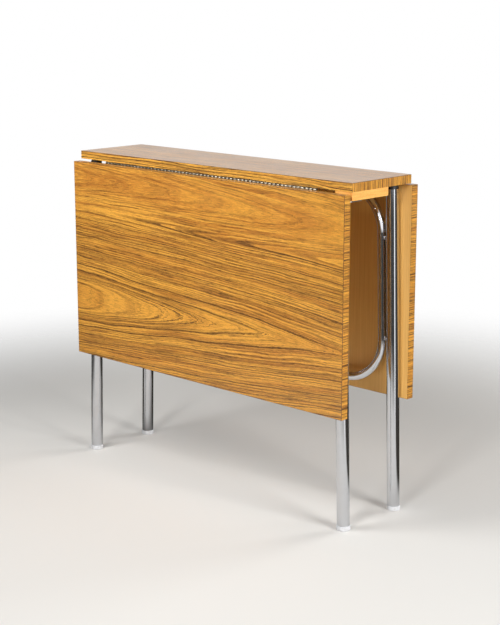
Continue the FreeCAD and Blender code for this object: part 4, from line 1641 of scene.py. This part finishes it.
@dataclass
class Studio:
    """A pale floor, soft lamps, a white background and the camera.

    Only shiny surfaces see its painted shade, dark patches on the floor, and its painted highlights,
    a bright strip and patch that light nothing. They lie by bearings: how far a point or direction
    lies towards the viewer, and to the viewer's right.
    """

    floor_radius: float = 3.0
    floor_sides: int = 96
    floor_fade: Span = (0.85, 2.0)
    floor_colour: Colour = paint(224, 222, 218)
    # painted shade: dark floor patches that only shiny surfaces see, in place of the shade round the
    # table
    carpet_colour: Colour = paint(70, 66, 60)
    carpet_skew: float = 0.6
    carpet_right: Span = (0.3, 0.5)
    carpet_behind: Span = (-0.15, -0.45)
    carpet_left: Span = (-0.7, -1.2)
    carpet_left_share: float = 0.8
    ambient: float = 0.06
    backdrop_edge: Span = (-0.75, -0.5)
    backdrop_levels: Span = (0.76, 0.06)
    # painted highlights that only shiny surfaces see: a strip on the right and a patch behind the
    # viewer
    strip_start: Span = (0.38, 0.48)
    strip_end: Span = (0.7, 0.6)
    strip_ahead: Span = (0.1, 0.3)
    strip_level: float = 1.4
    window_ahead: Span = (0.7, 0.9)
    window_sill: Span = (-0.12, 0.0)
    window_level: float = 1.3
    focal_length: float = 104.85
    view_limit: float = 50.0
    camera_place: Triple = (2.29999, -2.35303, 1.14509)
    camera_heading: float = math.radians(43.772)
    camera_dip: float = math.radians(12.765)
    lamps: tuple[Lamp, ...] = (
        Lamp("key", (-0.35, -1.0, 1.5), (0.0, -0.1, 0.5), size=0.7, power=15.0),
        Lamp("front", (1.25, -3.25, 1.5), (0.3, 0.0, 0.45), size=0.7, power=50.0),
        Lamp("side", (3.4, -0.25, 1.5), (0.0, 0.0, 0.5), size=1.2, power=90.0),
        Lamp("top", (0.0, 0.3, 3.0), (0.0, 0.0, 0.5), size=2.2, power=6.0),
        Lamp("back", (1.2, 3.4, 1.8), (0.0, 0.0, 0.4), size=1.6, power=66.0),
    )

    def build(self) -> None:
        """Sets up floor, background, lamps and camera."""
        self.floor()
        self.world()
        for lamp in self.lamps:
            lamp.build()
        self.camera()
        bpy.context.scene.view_settings.view_transform = "Standard"
        LOG.info("studio: %d lamps", len(self.lamps))

    def bearings(self, wires: Wiring, x: Socket, y: Socket) -> tuple[Socket, Socket]:
        """Finds where a point of the floor, or a direction, lies as the viewer stands.

        Args:
            wires: The wiring of the tree.
            x: Its part along X.
            y: Its part along Y.

        Returns:
            How far it lies towards the viewer, and how far to the viewer's right.
        """
        sine, cosine = math.sin(self.camera_heading), math.cos(self.camera_heading)
        towards = wires.minus(wires.times(x, sine), wires.times(y, cosine))
        right = wires.plus(wires.times(x, cosine), wires.times(y, sine))
        return towards, right

    def floor(self) -> None:
        """Lays a pale disc that melts into the background and can't be seen from below."""
        shape = bmesh.new()
        bmesh.ops.create_circle(shape, cap_ends=True, segments=self.floor_sides,
                                radius=self.floor_radius)
        floor = new_piece("studio_floor", shape)
        material = bpy.data.materials.new("studio_floor_finish")
        material.use_nodes = True
        material.node_tree.nodes.clear()
        wires = Wiring(material.node_tree)
        x, y, _ = (wires.times(part, MM) for part in wires.place())
        fade = wires.step(wires.length(x, y), *self.floor_fade)
        under = wires.add("ShaderNodeNewGeometry").outputs["Backfacing"]
        # painted shade: to glossy rays the floor turns dark right of, behind and left of the table
        glossy = wires.add("ShaderNodeLightPath").outputs["Is Glossy Ray"]
        carpet = wires.times(self.carpet(wires, x, y), glossy)
        colour = wires.blend(carpet, self.floor_colour, self.carpet_colour)
        matt = wires.add("ShaderNodeBsdfDiffuse", {"Color": colour})
        gone = wires.add("ShaderNodeBsdfTransparent")
        mixed = wires.add("ShaderNodeMixShader", {0: wires.most(fade, under), 1: matt.outputs[0],
                                                  2: gone.outputs[0]})
        wires.add("ShaderNodeOutputMaterial", {"Surface": mixed.outputs[0]})
        floor.data.materials.append(material)

    def carpet(self, wires: Wiring, x: Socket, y: Socket) -> Socket:
        """Finds the painted shade on the floor, right, behind and left of the table.

        Args:
            wires: The wiring of the floor's material.
            x: The floor point's X in metres.
            y: Its Y.

        Returns:
            The mask of the painted shade.
        """
        towards, right = self.bearings(wires, x, y)
        skewed = wires.minus(right, wires.times(towards, self.carpet_skew))
        left = wires.times(wires.step(right, *self.carpet_left), self.carpet_left_share)
        return wires.most(wires.step(skewed, *self.carpet_right),
                          wires.step(towards, *self.carpet_behind), left)

    def world(self) -> None:
        """Makes a world that is white to the viewer and a room to shiny surfaces."""
        world = bpy.data.worlds.new("studio")
        bpy.context.scene.world = world
        world.use_nodes = True
        world.node_tree.nodes.clear()
        wires = Wiring(world.node_tree)
        rays = wires.add("ShaderNodeLightPath").outputs
        shiny = wires.most(rays["Is Glossy Ray"], rays["Is Transmission Ray"])
        level = wires.plus(wires.times(shiny, self.room(wires)),
                           wires.times(wires.rest(shiny), self.ambient))
        level = wires.most(level, rays["Is Camera Ray"])
        glow = wires.add("ShaderNodeBackground", {"Color": paint(255, 255, 255),
                                                  "Strength": level})
        wires.add("ShaderNodeOutputWorld", {"Surface": glow.outputs[0]})

    def room(self, wires: Wiring) -> Socket:
        """Finds how bright the room is in a direction, as only shiny surfaces see it.

        Args:
            wires: The wiring of the world.

        Returns:
            Its level: a bright backdrop, and painted highlights, a strip on the right and a patch
                behind the viewer.
        """
        compass = wires.add("ShaderNodeTexCoord").outputs["Generated"]
        x, y, z = wires.add("ShaderNodeSeparateXYZ", {0: compass}).outputs
        towards, right = self.bearings(wires, x, y)
        backdrop = wires.scale(wires.step(towards, *self.backdrop_edge), *self.backdrop_levels)
        # painted highlights: the strip and the patch show only in reflections and light nothing
        strip = wires.times(wires.step(right, *self.strip_start), wires.step(right, *self.strip_end),
                            wires.step(towards, *self.strip_ahead), self.strip_level)
        highlight_patch = wires.times(wires.step(towards, *self.window_ahead),
                             wires.step(z, *self.window_sill), self.window_level)
        return wires.plus(backdrop, strip, highlight_patch)

    def camera(self) -> None:
        """Sets the camera, above the table's top and off its right front corner."""
        lens = bpy.data.cameras.new("camera")
        lens.lens = self.focal_length
        lens.sensor_fit = "HORIZONTAL"
        lens.clip_end = self.view_limit
        camera = bpy.data.objects.new("camera", lens)
        bpy.context.scene.collection.objects.link(camera)
        camera.location = self.camera_place
        camera.rotation_euler = Euler((math.pi / 2 - self.camera_dip, 0.0, self.camera_heading))
        bpy.context.scene.camera = camera


def main() -> None:
    """Builds the table's looks, then the studio."""
    logging.basicConfig(level=logging.INFO, format="%(message)s")
    Boards().build()
    for side in (Side.FRONT, Side.REAR):
        outward = side.turn.to_3x3() @ Vector((0, 1, 0))
        Hinge(side).build()
        Screws(f"{side.word}_hinge_fixed_screws", Body.TOP, UP).build()
        Screws(f"{side.word}_hinge_leaf_screws", side.leaf, outward).build()
        Screws(f"{side.word}_frame_screws", Body.TOP, UP).build()
        TubeFrame(side, swings=False).build()
        TubeFrame(side, swings=True).build()
    for end in ("left", "right"):
        Screws(f"{end}_batten_screws", Body.TOP, UP).build()
    Studio().build()


if __name__ == "__main__":
    main()
